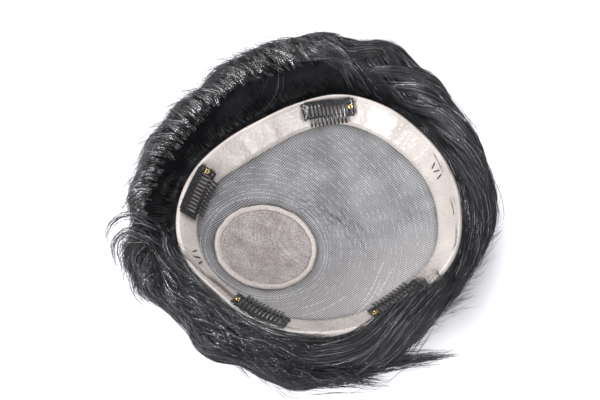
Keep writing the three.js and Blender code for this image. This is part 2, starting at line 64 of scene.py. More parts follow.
# Every 20 degrees: the rim's reach as a share of an ellipse's, and the share of the way out to the
# rim at which the band's inner edge lies.
RIM_REACH = [0.996, 0.997, 1.045, 1.07, 1.012, 0.97, 0.986, 1.021, 1.024,
             0.997, 0.946, 0.963, 0.985, 1.001, 1.008, 1.014, 1.039, 1.012]
BAND_EDGE = [0.838, 0.825, 0.818, 0.822, 0.815, 0.806, 0.806, 0.842, 0.872,
             0.876, 0.885, 0.872, 0.86, 0.852, 0.85, 0.855, 0.86, 0.85]
# Where each clip's middle sits round the rim
CLIPS = {"front_left": 66, "back_left": 147, "back_right": 220, "front_right": 288}

random = np.random.default_rng(20)


def read_rows(rows, degrees):
    """A table's value at any angle, on a smooth closed curve through its rows."""
    rows = np.asarray(rows, float)
    place = np.mod(degrees, 360.0) / (360.0 / len(rows))
    row = np.floor(place).astype(int)
    t = place - row
    a, b, c, d = (rows[(row + k) % len(rows)] for k in (-1, 0, 1, 2))
    return b + 0.5 * t * (c - a + t * (2 * a - 5 * b + 4 * c - d + t * (3 * (b - c) + d - a)))


def rim_radius(degrees):
    angle = np.radians(degrees)
    a, b = BASE_LENGTH / 2, BASE_WIDTH / 2
    ellipse = a * b / np.hypot(b * np.cos(angle), a * np.sin(angle))
    return ellipse * read_rows(RIM_REACH, degrees)


def dome_height(x, y):
    share = np.hypot(x, y) / rim_radius(np.degrees(np.arctan2(y, x)))
    return -DOME_DEPTH * (1 - share * share)


def unit(ways):
    return ways / np.linalg.norm(ways, axis=-1, keepdims=True)


def on_dome(x, y, lift=0.0):
    """Points at some height off the net's inner face, in millimetres from the rim's middle."""
    x, y, lift = np.broadcast_arrays(*(np.asarray(v, float) for v in (x, y, lift)))
    step = 0.01
    slope_x = (dome_height(x + step, y) - dome_height(x - step, y)) / (2 * step)
    slope_y = (dome_height(x, y + step) - dome_height(x, y - step)) / (2 * step)
    normal = unit(np.stack([-slope_x, -slope_y, np.ones_like(x)], -1))
    return np.stack([x, y, dome_height(x, y)], -1) + normal * lift[..., None]


def on_ray(degrees, share, lift=0.0):
    reach = rim_radius(degrees) * share
    return on_dome(reach * np.cos(np.radians(degrees)), reach * np.sin(np.radians(degrees)), lift)


def find_middle():
    """Where the middle of the rim's plane lies in the model, from the net's own box."""
    around = np.arange(0, 360, 7.5)
    rim = on_ray(around, 1 - (BAND_WALL + GAP) / rim_radius(around))
    low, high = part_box("net")
    bottom = -DOME_DEPTH - NET_WALL
    return np.array([high[0] / MM - rim[:, 0].max(), high[1] / MM - rim[:, 1].max(),
                     low[2] / MM - bottom])


MIDDLE = find_middle()


def place(points):
    """Millimetres from the rim's middle as metres in the model."""
    return (np.asarray(points, float) + MIDDLE) * MM


# Meshes


def deselect():
    bpy.ops.object.select_all(action="DESELECT")


def take_up(piece):
    """Makes a piece the only one that operators act on."""
    deselect()
    bpy.context.view_layer.objects.active = piece
    piece.select_set(True)


def solid_tree(node):
    """A solid's faces, ready to be met by rays."""
    mesh = NODES[node].data
    corners = [v.co.copy() for v in mesh.vertices]
    return BVHTree.FromPolygons(corners, [p.vertices[:] for p in mesh.polygons])


def make_piece(name, points, faces, material, smooth=True):
    mesh = bpy.data.meshes.new(name)
    mesh.from_pydata([tuple(p) for p in points], [], [tuple(f) for f in faces])
    mesh.update()
    return dress_mesh(name, mesh, material, smooth)


def dress_mesh(name, mesh, material, smooth=True):
    piece = bpy.data.objects.new(name, mesh)
    bpy.context.scene.collection.objects.link(piece)
    mesh.materials.clear()
    mesh.materials.append(material)
    mesh.polygons.foreach_set("use_smooth", np.full(len(mesh.polygons), smooth))
    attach(piece, "root")
    return piece


def loop_faces(rings, sides, closed_rings=True, closed_sides=True):
    """Quads between rings of points that are numbered ring by ring."""
    faces = []
    for i in range(rings if closed_rings else rings - 1):
        for j in range(sides if closed_sides else sides - 1):
            k, m = (i + 1) % rings, (j + 1) % sides
            faces.append((i * sides + j, i * sides + m, k * sides + m, k * sides + j))
    return faces


def make_tubes(name, lines, radii, ups, material, sides=3, shade=None):
    """One mesh of many thin tubes that end in points. lines is (tubes, places, 3) in metres, with
    four places or more, radii (tubes, places), ups the way out of the surface at each place, and
    shade a number for each tube."""
    tubes, places = lines.shape[:2]
    along = np.gradient(lines, axis=1)
    along /= np.linalg.norm(along, axis=-1, keepdims=True) + 1e-12
    side = np.cross(along, ups)
    side /= np.linalg.norm(side, axis=-1, keepdims=True) + 1e-12
    up = np.cross(side, along)
    turn = 2 * np.pi * (np.arange(sides) + 0.25) / sides
    ring = side[:, :, None] * np.cos(turn)[:, None] + up[:, :, None] * np.sin(turn)[:, None]
    rings = (lines[:, 1:-1, None] + (ring * radii[:, :, None, None])[:, 1:-1]).reshape(tubes, -1, 3)
    points = np.concatenate([rings, lines[:, :1], lines[:, -1:]], axis=1)
    each = points.shape[1]
    points = points.reshape(-1, 3)
    j = np.arange(sides)
    m = (j + 1) % sides
    low = (np.arange(places - 3) * sides)[:, None]
    quads = np.stack([low + j, low + sides + j, low + sides + m, low + m], -1)
    last_ring = (places - 3) * sides
    root = np.stack([j, m, np.full(sides, each - 2)], -1)
    tip = np.stack([last_ring + m, last_ring + j, np.full(sides, each - 1)], -1)
    first = (np.arange(tubes) * each)[:, None, None]
    quads = (quads.reshape(-1, 4)[None] + first).reshape(-1, 4)
    ends = (np.concatenate([root, tip])[None] + first).reshape(-1, 3)
    corners = np.concatenate([quads.ravel(), ends.ravel()])
    sizes = np.concatenate([np.full(len(quads), 4), np.full(len(ends), 3)])
    mesh = bpy.data.meshes.new(name)
    mesh.vertices.add(len(points))
    mesh.vertices.foreach_set("co", points.astype(np.float32).ravel())
    mesh.loops.add(len(corners))
    mesh.loops.foreach_set("vertex_index", corners.astype(np.int32))
    mesh.polygons.add(len(sizes))
    starts = np.concatenate([[0], np.cumsum(sizes)[:-1]])
    mesh.polygons.foreach_set("loop_start", starts.astype(np.int32))
    mesh.update(calc_edges=True)
    mesh.validate()
    if shade is not None:
        layer = mesh.attributes.new("shade", "FLOAT", "POINT")
        layer.data.foreach_set("value", np.repeat(shade, each).astype(np.float32))
    return dress_mesh(name, mesh, material)


# Materials


def new_material(name, colour, roughness, metallic=0.0):
    material = bpy.data.materials.new(name)
    material.use_nodes = True
    shader = material.node_tree.nodes["Principled BSDF"]
    shader.inputs["Base Color"].default_value = (*colour, 1)
    shader.inputs["Roughness"].default_value = roughness
    shader.inputs["Metallic"].default_value = metallic
    return material, material.node_tree, shader


def link(tree, source, target):
    tree.links.new(source, target)


def ramp(tree, value, stops):
    node = tree.nodes.new("ShaderNodeValToRGB")
    elements = node.color_ramp.elements
    while len(elements) < len(stops):
        elements.new(0.5)
    for element, (position, colour) in zip(elements, stops):
        element.position = position
        element.color = (*colour, 1)
    link(tree, value, node.inputs["Fac"])
    return node.outputs["Color"]


def bump(tree, height, strength, distance, normal=None):
    node = tree.nodes.new("ShaderNodeBump")
    node.inputs["Strength"].default_value = strength
    node.inputs["Distance"].default_value = distance
    link(tree, height, node.inputs["Height"])
    if normal is not None:
        link(tree, normal, node.inputs["Normal"])
    return node.outputs["Normal"]


def new_group(name, inputs, outputs):
    """A node group with named inputs and outputs, and its two end nodes."""
    group = bpy.data.node_groups.new(name, "ShaderNodeTree")
    for socket, kind, value in inputs:
        group.interface.new_socket(socket, in_out="INPUT", socket_type=kind).default_value = value
    for socket, kind in outputs:
        group.interface.new_socket(socket, in_out="OUTPUT", socket_type=kind)
    return group, group.nodes.new("NodeGroupInput"), group.nodes.new("NodeGroupOutput")


def use_group(tree, group, **values):
    node = tree.nodes.new("ShaderNodeGroup")
    node.node_tree = group
    for socket, value in values.items():
        node.inputs[socket].default_value = value
    return node


def blend(tree, factor, low, high, start=0.0, end=1.0):
    """A number that runs from low to high as the factor runs from start to end."""
    node = tree.nodes.new("ShaderNodeMapRange")
    link(tree, factor, node.inputs["Value"])
    node.inputs["From Min"].default_value = start
    node.inputs["From Max"].default_value = end
    for socket, value in (("To Min", low), ("To Max", high)):
        if isinstance(value, (int, float)):
            node.inputs[socket].default_value = value
        else:
            link(tree, value, node.inputs[socket])
    return node.outputs["Result"]


def mix_colours(tree, factor, low, high):
    node = tree.nodes.new("ShaderNodeMix")
    node.data_type = "RGBA"
    link(tree, factor, node.inputs["Factor"])
    for socket, colour in (("A", low), ("B", high)):
        target = next(i for i in node.inputs if i.name == socket and i.type == "RGBA")
        if isinstance(colour, tuple):
            target.default_value = (*colour, 1)
        else:
            link(tree, colour, target)
    return next(o for o in node.outputs if o.type == "RGBA")


def mottle_group():
    """Uneven colour: patches of a given size between two colours, and their height for a bump."""
    group, inputs, outputs = new_group(
        "mottle",
        [("Patches per metre", "NodeSocketFloat", 100.0), ("Detail", "NodeSocketFloat", 3.0),
         ("Low", "NodeSocketColor", (0.1, 0.1, 0.1, 1)),
         ("High", "NodeSocketColor", (0.2, 0.2, 0.2, 1))],
        [("Colour", "NodeSocketColor"), ("Height", "NodeSocketFloat")])
    coordinates = group.nodes.new("ShaderNodeTexCoord")
    noise = group.nodes.new("ShaderNodeTexNoise")
    link(group, coordinates.outputs["Object"], noise.inputs["Vector"])
    link(group, inputs.outputs["Patches per metre"], noise.inputs["Scale"])
    link(group, inputs.outputs["Detail"], noise.inputs["Detail"])
    height = blend(group, noise.outputs["Fac"], 0.0, 1.0, 0.32, 0.68)
    colours = mix_colours(group, height, inputs.outputs["Low"], inputs.outputs["High"])
    link(group, colours, outputs.inputs["Colour"])
    link(group, height, outputs.inputs["Height"])
    return group


def strand_group():
    """Each hair's tone and gloss, from the number kept with it: most near black, a few pale. The
    number differs at random from hair to hair, and is partly painted light: some groups get darker
    numbers where shade falls and paler ones where light falls.
    """
    group, inputs, outputs = new_group(
        "strand tone",
        [("Dull", "NodeSocketFloat", 0.5), ("Glossy", "NodeSocketFloat", 0.25)],
        [("Colour", "NodeSocketColor"), ("Roughness", "NodeSocketFloat")])
    shade = group.nodes.new("ShaderNodeAttribute")
    shade.attribute_name = "shade"
    colours = ramp(group, shade.outputs["Fac"], [
        (0.0, (0.0016, 0.0016, 0.002)),
        (0.6, (0.007, 0.0066, 0.0088)),
        (0.85, (0.03, 0.029, 0.036)),
        (1.0, (0.11, 0.106, 0.122)),
    ])
    link(group, colours, outputs.inputs["Colour"])
    gloss = blend(group, shade.outputs["Fac"], inputs.outputs["Dull"], inputs.outputs["Glossy"])
    link(group, gloss, outputs.inputs["Roughness"])
    return group


def painted_light_group():
    """Painted light: a share that runs from the net's middle to its near side, where the net is
    painted paler as if lit more brightly.
    """
    group, _, outputs = new_group("painted light near net", [], [("Painted light", "NodeSocketFloat")])
    coordinates = group.nodes.new("ShaderNodeTexCoord")
    towards = group.nodes.new("ShaderNodeVectorMath")
    towards.operation = "DOT_PRODUCT"
    towards.inputs[1].default_value = (0.0, -1.0, 0)
    link(group, coordinates.outputs["Object"], towards.inputs[0])
    share = blend(group, towards.outputs["Value"], 0.0, 1.0, 0.018, 0.06)
    link(group, share, outputs.inputs["Painted light"])
    return group


MOTTLE = mottle_group()
STRAND = strand_group()
PAINTED_LIGHT = painted_light_group()


def mottled(tree, shader, size, low, high, detail=3.0):
    """Gives a material uneven colour, in patches of a size in metres, and returns their height."""
    node = use_group(tree, MOTTLE, **{"Patches per metre": 1 / size, "Detail": detail,
                                      "Low": (*low, 1), "High": (*high, 1)})
    link(tree, node.outputs["Colour"], shader.inputs["Base Color"])
    return node.outputs["Height"]


def cells(tree, size, randomness):
    """How far each place is from the nearest of many scattered dots, in shares of their spacing."""
    coordinates = tree.nodes.new("ShaderNodeTexCoord")
    dots = tree.nodes.new("ShaderNodeTexVoronoi")
    dots.inputs["Scale"].default_value = 1 / size
    dots.inputs["Randomness"].default_value = randomness
    link(tree, coordinates.outputs["Object"], dots.inputs["Vector"])
    return dots.outputs["Distance"]


def hair_material(name, ior, level, dull, glossy):
    material, tree, shader = new_material(name, (0.012, 0.0115, 0.014), 0.3)
    strand = use_group(tree, STRAND, Dull=dull, Glossy=glossy)
    link(tree, strand.outputs["Colour"], shader.inputs["Base Color"])
    link(tree, strand.outputs["Roughness"], shader.inputs["Roughness"])
    shader.inputs["IOR"].default_value = ior
    shader.inputs["Specular IOR Level"].default_value = level
    return material


def under_hair_material():
    material, tree, shader = new_material("hair_depths", (0.006, 0.006, 0.0075), 0.7)
    height = mottled(tree, shader, 0.006, (0.006, 0.006, 0.0075), (0.012, 0.012, 0.015), 3)
    shader.inputs["Specular IOR Level"].default_value = 0.12
    link(tree, bump(tree, height, 0.5, 0.001), shader.inputs["Normal"])
    return material


def net_sheet_material():
    """Net over dark hair, painted paler at its near side as if lit more brightly."""
    material, tree, shader = new_material("net_over_hair", (0.1, 0.1, 0.105), 0.7)
    mottle = use_group(tree, MOTTLE, **{"Patches per metre": 1 / 0.011, "Detail": 4.0,
                                        "Low": (0.06, 0.058, 0.06, 1),
                                        "High": (0.175, 0.172, 0.175, 1)})
    painted_light = use_group(tree, PAINTED_LIGHT).outputs["Painted light"]
    # Painted light: the sheet turns paler towards its near side.
    colours = mix_colours(tree, painted_light, mottle.outputs["Colour"], (0.2, 0.188, 0.184))
    link(tree, colours, shader.inputs["Base Color"])
    return material


def net_thread_material(name, low, high):
    material, tree, shader = new_material(name, high, 0.45)
    mottle = use_group(tree, MOTTLE, **{"Patches per metre": 1 / 0.02, "Low": (*low, 1),
                                        "High": (*high, 1)})
    painted_light = use_group(tree, PAINTED_LIGHT).outputs["Painted light"]
    # Painted light: the threads turn paler towards the net's near side.
    colours = mix_colours(tree, painted_light, mottle.outputs["Colour"], (0.68, 0.652, 0.645))
    link(tree, colours, shader.inputs["Base Color"])
    return material


def band_material():
    material, tree, shader = new_material("coated_band", (0.5, 0.45, 0.41), 0.3)
    shader.inputs["Specular IOR Level"].default_value = 0.7
    shader.inputs["Coat Weight"].default_value = 0.3
    shader.inputs["Coat Roughness"].default_value = 0.3
    mottle = use_group(tree, MOTTLE, **{"Patches per metre": 1 / 0.018, "Detail": 4.0,
                                        "Low": (0.43, 0.377, 0.35, 1),
                                        "High": (0.57, 0.518, 0.478, 1)})
    crinkle = use_group(tree, MOTTLE, **{"Patches per metre": 1 / 0.0022, "Detail": 4.0})
    pits = blend(tree, cells(tree, 0.0034, 1.0), 1.0, 0.0, 0.07, 0.14)
    colours = mix_colours(tree, pits, mottle.outputs["Colour"], (0.26, 0.225, 0.21))
    link(tree, colours, shader.inputs["Base Color"])
    gloss = blend(tree, crinkle.outputs["Height"], 0.2, 0.34)
    link(tree, gloss, shader.inputs["Roughness"])
    dents = bump(tree, pits, -0.5, 0.0003)
    link(tree, bump(tree, crinkle.outputs["Height"], 0.32, 0.0004, dents), shader.inputs["Normal"])
    return material


def stitch_material():
    # The thread's near-white colour is partly its own and partly a painted highlight for the glints
    # along the stitch rows.
    material, tree, shader = new_material("stitch_thread", (0.85, 0.81, 0.76), 0.35)
    mottled(tree, shader, 0.002, (0.74, 0.7, 0.66), (0.9, 0.87, 0.83))
    return material


def patch_material():
    material, tree, shader = new_material("dotted_silk", (0.36, 0.32, 0.31), 0.65)
    cloth = use_group(tree, MOTTLE, **{"Patches per metre": 1 / 0.009, "Detail": 4.0,
                                       "Low": (0.3, 0.258, 0.245, 1),
                                       "High": (0.47, 0.425, 0.405, 1)})
    dots = cells(tree, 0.00095, 0.6)
    knots = blend(tree, dots, 0.85, 0.0, 0.22, 0.52)
    colours = mix_colours(tree, knots, cloth.outputs["Colour"], (0.13, 0.112, 0.112))
    link(tree, colours, shader.inputs["Base Color"])
    link(tree, bump(tree, dots, 0.4, 0.0004), shader.inputs["Normal"])
    return material


def border_material():
    material, tree, shader = new_material("patch_ribbon", (0.52, 0.46, 0.42), 0.45)
    height = mottled(tree, shader, 0.0014, (0.46, 0.405, 0.37), (0.6, 0.54, 0.5))
    link(tree, bump(tree, height, 0.3, 0.0003), shader.inputs["Normal"])
    return material


def clip_material():
    material, tree, shader = new_material("black_spring_steel", (0.014, 0.014, 0.016), 0.32)
    height = mottled(tree, shader, 0.0015, (0.01, 0.01, 0.0115), (0.026, 0.026, 0.029))
    shader.inputs["Coat Weight"].default_value = 0.9
    shader.inputs["Coat Roughness"].default_value = 0.12
    link(tree, blend(tree, height, 0.18, 0.32), shader.inputs["Roughness"])
    return material


def brass_material():
    material, tree, shader = new_material("rolled_brass", (0.83, 0.62, 0.24), 0.25, 1.0)
    mottled(tree, shader, 0.0012, (0.6, 0.42, 0.15), (0.9, 0.7, 0.3))
    return material


def sewing_material():
    material, tree, shader = new_material("black_sewing_thread", (0.012, 0.012, 0.013), 0.5)
    mottled(tree, shader, 0.0008, (0.008, 0.008, 0.009), (0.03, 0.03, 0.032))
    return material


def pen_material():
    material, tree, shader = new_material("felt_pen", (0.03, 0.03, 0.034), 0.4)
    mottled(tree, shader, 0.0012, (0.02, 0.019, 0.021), (0.09, 0.085, 0.088))
    return material


HAIR = hair_material("natural_black_hair", 1.55, 0.6, dull=0.5, glossy=0.25)
GLOSSY_HAIR = hair_material("glossy_black_hair", 2.4, 0.8, dull=0.28, glossy=0.17)
UNDER_HAIR = under_hair_material()
NET_SHEET = net_sheet_material()
NET_THREAD = net_thread_material("net_thread", (0.33, 0.325, 0.335), (0.52, 0.515, 0.53))
PALE_THREAD = net_thread_material("pale_net_thread", (0.46, 0.45, 0.46), (0.64, 0.62, 0.63))
BAND = band_material()
STITCH = stitch_material()
PATCH = patch_material()
BORDER = border_material()
CLIP = clip_material()
BRASS = brass_material()
SEWING = sewing_material()
PEN = pen_material()


# The base


def ring_piece(name, sections, material):
    """A closed ring from sections of points, each (sides, 3) in millimetres."""
    sections = np.asarray(sections)
    rings, sides = sections.shape[:2]
    return make_piece(name, place(sections.reshape(-1, 3)), loop_faces(rings, sides), material)


def round_sheet(name, rings, middle, material):
    """An open sheet from rays of points that start at one middle point."""
    around, out = rings.shape[:2]
    points = np.concatenate([rings.reshape(-1, 3), middle[None]])
    faces = loop_faces(around, out, True, False)
    faces += [(around * out, i * out, ((i + 1) % around) * out) for i in range(around)]
    return make_piece(name, place(points), faces, material)


def net_sheet():
    short_of_rim = 1.5
    around = np.arange(0, 360, 3.0)
    edge = 1 - short_of_rim / rim_radius(around)
    top = np.stack([on_ray(around, share * edge, 0) for share in np.linspace(0, 1, 29)[1:]], 1)
    piece = round_sheet("net_cloth", top, on_dome(0, 0), NET_SHEET)
    solidify(piece, NET_WALL * MM * 0.6)
    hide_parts("net")
    return piece


def solidify(piece, thickness):
    """Gives an open sheet its wall, on the side away from its faces."""
    take_up(piece)
    wall = piece.modifiers.new("wall", "SOLIDIFY")
    wall.thickness = thickness
    wall.offset = -1
    bpy.ops.object.modifier_apply(modifier=wall.name)


def in_patch(x, y, margin=0.0):
    length, width = PATCH_LENGTH / 2 + margin, PATCH_WIDTH / 2 + margin
    return np.hypot((x + PATCH_BACK) / length, y / width) < 1


def thread_paths():
    """The open weave: threads both ways over the dome, from band to band and round the patch, as
    runs of x and y in millimetres."""
    pitch, step, sample, reach, shortest = 1.1, 5.0, 0.5, 84, 2
    under_band = 0.015
    paths = []
    for degrees in (24.0, 114.0):
        along = np.array([math.cos(math.radians(degrees)), math.sin(math.radians(degrees))])
        across = np.array([-along[1], along[0]])
        for offset in np.arange(-reach, reach, pitch):
            t = np.arange(-reach, reach + 0.1, sample)
            x, y = (offset * across[k] + t * along[k] for k in (0, 1))
            angle = np.degrees(np.arctan2(y, x))
            share = np.hypot(x, y) / rim_radius(angle)
            open_net = (share < read_rows(BAND_EDGE, angle) + under_band) & ~in_patch(x, y, -1)
            edges = np.flatnonzero(np.diff(np.concatenate([[0], open_net.astype(int), [0]])))
            for a, b in zip(edges[::2], edges[1::2]):
                length = (b - a) * sample
                if length < shortest:
                    continue
                pick = np.linspace(a, b - 1, max(4, int(length / step) + 1))
                every = np.arange(len(t))
                paths.append((np.interp(pick, every, x), np.interp(pick, every, y)))
    return paths


def net_threads():
    radius, lift = 0.19, 0.12
    paths = thread_paths()
    pieces = []
    for count in sorted({len(x) for x, _ in paths}):
        group = [path for path in paths if len(path[0]) == count]
        x, y = (np.array([path[k] for path in group]) for k in (0, 1))
        lines = place(on_dome(x, y, lift))
        ups = on_dome(x, y, 1.0) - on_dome(x, y, 0.0)
        radii = np.full(lines.shape[:2], radius * MM)
        pieces.append(make_tubes(f"thread_{count}", lines, radii, ups, NET_THREAD))
    return join(pieces, "net_threads")


def join(pieces, name):
    deselect()
    for piece in pieces:
        piece.select_set(True)
    bpy.context.view_layer.objects.active = pieces[0]
    if len(pieces) > 1:
        bpy.ops.object.join()
    pieces[0].name = name
    pieces[0].data.name = name
    return pieces[0]


def band():
    around = np.arange(0, 360, 2.0)
    inner = read_rows(BAND_EDGE, around)
    inside = lambda distance: 1 - distance / rim_radius(around)
    middle = (inner + 1) / 2
    under = -(NET_WALL + GAP)
    ripple = 0.12 * np.sin(np.radians(around) * 31) + 0.1 * np.sin(np.radians(around) * 53 + 1)
    profile = [
        (inner, GAP * 0.6),
        (inner + 0.002, GAP + 0.45 + ripple * 0.3),
        (inner * 0.8 + 0.2, GAP + 0.8 + ripple),
        (middle, GAP + BAND_WALL * 0.9 + ripple),
        (inside(4.5), GAP + BAND_WALL * 0.95 + ripple),
        (inside(2), GAP + BAND_WALL),
        (inside(0.8), GAP + BAND_WALL * 0.9),
        (inside(0.15), GAP + 0.4),
        (inside(0), -0.4),
        (inside(0.15), under - 0.2),
        (inside(0.9), under - BAND_WALL * 0.9),
        (inside(BAND_FOLD), under - BAND_WALL * 0.7),
        (inside(BAND_FOLD), under),
        (inside(BAND_WALL), under),
        (inside(BAND_WALL), GAP * 0.8),
    ]
    sections = np.stack([on_ray(around, share, lift) for share, lift in profile], 1)
    piece = ring_piece("edge_band", sections, BAND)
    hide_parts("rim_band")
    return piece


def stitches():
    """Two rows of small stitches that sew the band down, near its edges."""
    spacing, half_length = 2.1, 0.42
    around = np.arange(0, 360, 0.25)
    near_rim = 1 - 2.6 / rim_radius(around)
    near_net = read_rows(BAND_EDGE, around) + 0.022
    lines, ups = [], []
    for share, jitter in ((near_rim, 0.15), (near_net, 0.12)):
        path = on_ray(around, share, 0)
        length = np.concatenate([[0], np.cumsum(np.linalg.norm(np.diff(path, axis=0), axis=1))])
        count = int(length[-1] / spacing)
        for k in range(count):
            centre = np.interp((k + 0.5) * spacing, length, around)
            half = half_length * np.degrees(1 / rim_radius(centre))
            degrees = centre + np.array([-1, -0.5, 0.5, 1]) * half
            at = np.interp(degrees, around, share) + random.normal(0, jitter) / 75
            lift = GAP + BAND_WALL * 0.78 + np.array([-0.1, 0.2, 0.2, -0.1])
            lines.append(on_ray(degrees, at, lift))
            ups.append(on_ray(degrees, at, lift + 1) - on_ray(degrees, at, lift))
    lines, ups = np.array(lines), np.array(ups)
    radii = np.tile(np.array([0.1, 0.17, 0.17, 0.1]) * MM, (len(lines), 1))
    return make_tubes("band_stitches", place(lines), radii, ups, STITCH, sides=4)


def on_patch(degrees, share, inset, lift):
    angle = np.radians(degrees)
    x = -PATCH_BACK + (PATCH_LENGTH / 2 - inset) * share * np.cos(angle)
    y = (PATCH_WIDTH / 2 - inset) * share * np.sin(angle)
    return on_dome(x, y, lift)


def crown_patch():
    around = np.arange(0, 360, 5.0)
    inset, lift = PATCH_BORDER * 0.8, GAP + PATCH_WALL
    top = np.stack([on_patch(around, s, inset, lift) for s in np.linspace(0, 1, 13)[1:]], 1)
    middle = on_patch(0, 0, inset, lift)
    piece = round_sheet("crown_silk", top, middle, PATCH)
    solidify(piece, PATCH_WALL * MM * 0.8)
    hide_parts("crown_patch")
    return piece


def patch_border():
    around = np.arange(0, 360, 3.0)
    wobble = 0.12 * np.sin(np.radians(around) * 9) + 0.1 * np.sin(np.radians(around) * 17)
    top = GAP + PATCH_WALL + 0.45
    profile = [(0, GAP * 0.5), (0.1, GAP + 0.6), (0.6, top - 0.1), (1.4, top + 0.05), (2.3, top),
               (2.9, top - 0.15), (3.2, GAP + PATCH_WALL * 0.7), (3.2, GAP * 0.5)]
    sections = np.stack([on_patch(around, 1.0, inset + wobble, lift) for inset, lift in profile], 1)
    piece = ring_piece("patch_ribbon", sections, BORDER)
    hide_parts("patch_border")
    return piece


def thread_runs(runs, name, material, radius, lift=0.3):
    """Thin threads over the net's inner face, from runs of x and y in millimetres."""
    places = 7
    line, ups = [], []
    for x, y in runs:
        t, pick = np.linspace(0, 1, len(x)), np.linspace(0, 1, places)
        x, y = np.interp(pick, t, x), np.interp(pick, t, y)
        line.append(on_dome(x, y, lift))
        ups.append(on_dome(x, y, lift + 1) - on_dome(x, y, lift))
    taper = np.interp(np.linspace(0, 1, places), [0, 0.15, 0.85, 1], [0.4, 1, 1, 0.4])
    radii = np.tile(taper, (len(line), 1)) * radius * MM
    return make_tubes(name, place(np.array(line)), radii, np.array(ups), material, sides=4)


def on_open_net(x, y, margin=0.03):
    angle = np.degrees(np.arctan2(y, x))
    return np.hypot(x, y) / rim_radius(angle) < read_rows(BAND_EDGE, angle) - margin


def round_patch(degrees, distance):
    """Places round the crown patch, at a distance past its border."""
    angle = np.radians(degrees)
    x = -PATCH_BACK + (PATCH_LENGTH / 2 + distance) * np.cos(angle)
    return x, (PATCH_WIDTH / 2 + distance) * np.sin(angle)


def weft_rows():
    """Thicker rows in the net, pale dashed rings round the crown patch."""
    runs = []
    first, last, spacing = 8.5, 80, 2.9
    paler_towards = 80
    for distance in np.arange(first, last, spacing):
        degrees = random.uniform(0, 8)
        while degrees < 360:
            reach = math.degrees(random.uniform(2.5, 8) / (28 + distance))
            drift = random.normal(0, 0.12)
            x, y = round_patch(degrees + np.linspace(0, reach, 7), distance + drift)
            share_kept = 0.5 + 0.5 * math.cos(math.radians(degrees - paler_towards))
            if on_open_net(x, y).all() and random.uniform() < 0.4 + 0.6 * share_kept:
                runs.append((x, y))
            degrees += reach * random.uniform(1.08, 1.4)
    return thread_runs(runs, "net_weft_rows", PALE_THREAD, 0.14, lift=0.25)


def seam_rings():
    """The two rows of sewing that gather the net round the patch."""
    runs = []
    for distance, wobble in ((4.6, 0.25), (6.6, 0.4)):
        for start in np.arange(0, 360, 6.0):
            degrees = start + np.linspace(0, 6.2, 7)
            uneven = wobble * np.sin(np.radians(degrees) * 5 + distance)
            runs.append(round_patch(degrees, distance + uneven))
    return thread_runs(runs, "net_seam", NET_THREAD, 0.3, lift=0.15)


def hair_under_net():
    """Dark hairs that show through the net, on a curve that runs out from the patch."""
    runs = []
    count, first, last = 110, -12, 44
    for start in random.uniform(first, last, count):
        degrees = start - np.linspace(0, random.uniform(7, 16), 7)
        distance = 10 + (32 - degrees) * 0.36 + random.normal(0, 4)
        x, y = round_patch(degrees, distance)
        if distance.min() > 3 and on_open_net(x, y).all():
            runs.append((x, y))
    return thread_runs(runs, "hair_under_net", HAIR, 0.075, lift=0.2)


def net_folds():
    """Soft creases where the net is eased into the band, at its near right."""
    creases = [((309, 0.56), (302, 0.585), (293, 0.63), (281, 0.71), (270, 0.8)),
               ((292, 0.68), (283, 0.74), (273, 0.81), (264, 0.87)),
               ((268, 0.64), (258, 0.69), (247, 0.76), (236, 0.83)),
               ((306, 0.66), (299, 0.685), (291, 0.72), (282, 0.775)),
               ((256, 0.62), (246, 0.68), (236, 0.75))]
    places, step = 60, 6
    runs = []
    for crease in creases:
        rows = smooth(crease, places)
        reach = rim_radius(rows[:, 0]) * rows[:, 1]
        x, y = reach * np.cos(np.radians(rows[:, 0])), reach * np.sin(np.radians(rows[:, 0]))
        for start in range(0, places - step, step):
            runs.append((x[start:start + step + 1], y[start:start + step + 1]))
    return thread_runs(runs, "net_creases", PALE_THREAD, 0.34, lift=0.02)


def smooth(rows, places):
    """A smooth curve through rows of given values."""
    rows = np.asarray(rows, float)
    rows = np.concatenate([[2 * rows[0] - rows[1]], rows, [2 * rows[-1] - rows[-2]]])
    t = np.linspace(0, len(rows) - 3 - 1e-6, places)
    k = np.floor(t).astype(int)
    u = (t - k)[:, None]
    a, b, c, d = (rows[k + i] for i in range(4))
    return b + 0.5 * u * (c - a + u * (2 * a - 5 * b + 4 * c - d + u * (3 * (b - c) + d - a)))


def pen_ticks():
    """A few short felt-pen strokes on the band, at its front and its back."""
    lines, ups = [], []
    for degrees, tilt in ((4, 0.9), (1, -0.6), (-2, 0.5), (177, 0.5), (180, -0.6), (183, 0.8)):
        share = 0.93 + np.linspace(-0.022, 0.022, 5)
        around = degrees + np.linspace(-1.1, 1.1, 5) * tilt
        lift = GAP + BAND_WALL + 0.02
        lines.append(on_ray(around, share, lift))
        ups.append(on_ray(around, share, lift + 1) - on_ray(around, share, lift))
    radii = np.tile(np.array([0.25, 0.45, 0.5, 0.45, 0.25]) * MM, (len(lines), 1))
    return make_tubes("pen_ticks", place(np.array(lines)), radii, np.array(ups), PEN,
                      sides=6)


def copy_node(node, name, material):
    """A merged copy of a solid, to be finished as a piece of its own."""
    mesh = NODES[node].data.copy()
    edit = bmesh.new()
    edit.from_mesh(mesh)
    bmesh.ops.remove_doubles(edit, verts=edit.verts, dist=1e-6)
    edit.to_mesh(mesh)
    edit.free()
    mesh.name = name
    piece = dress_mesh(name, mesh, material, smooth=False)
    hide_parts(node)
    return piece


def finish_clip(name):
    """A clip with its stamped edges rounded."""
    piece = copy_node(f"clip_{name}", f"spring_{name}", CLIP)
    take_up(piece)
    rounding = piece.modifiers.new("rounded edges", "BEVEL")
    rounding.width = 0.14 * MM
    rounding.segments = 2
    rounding.limit_method = "ANGLE"
    rounding.angle_limit = math.radians(35)
    bpy.ops.object.modifier_apply(modifier=rounding.name)
    bpy.ops.object.shade_smooth_by_angle(angle=math.radians(40))
    return piece


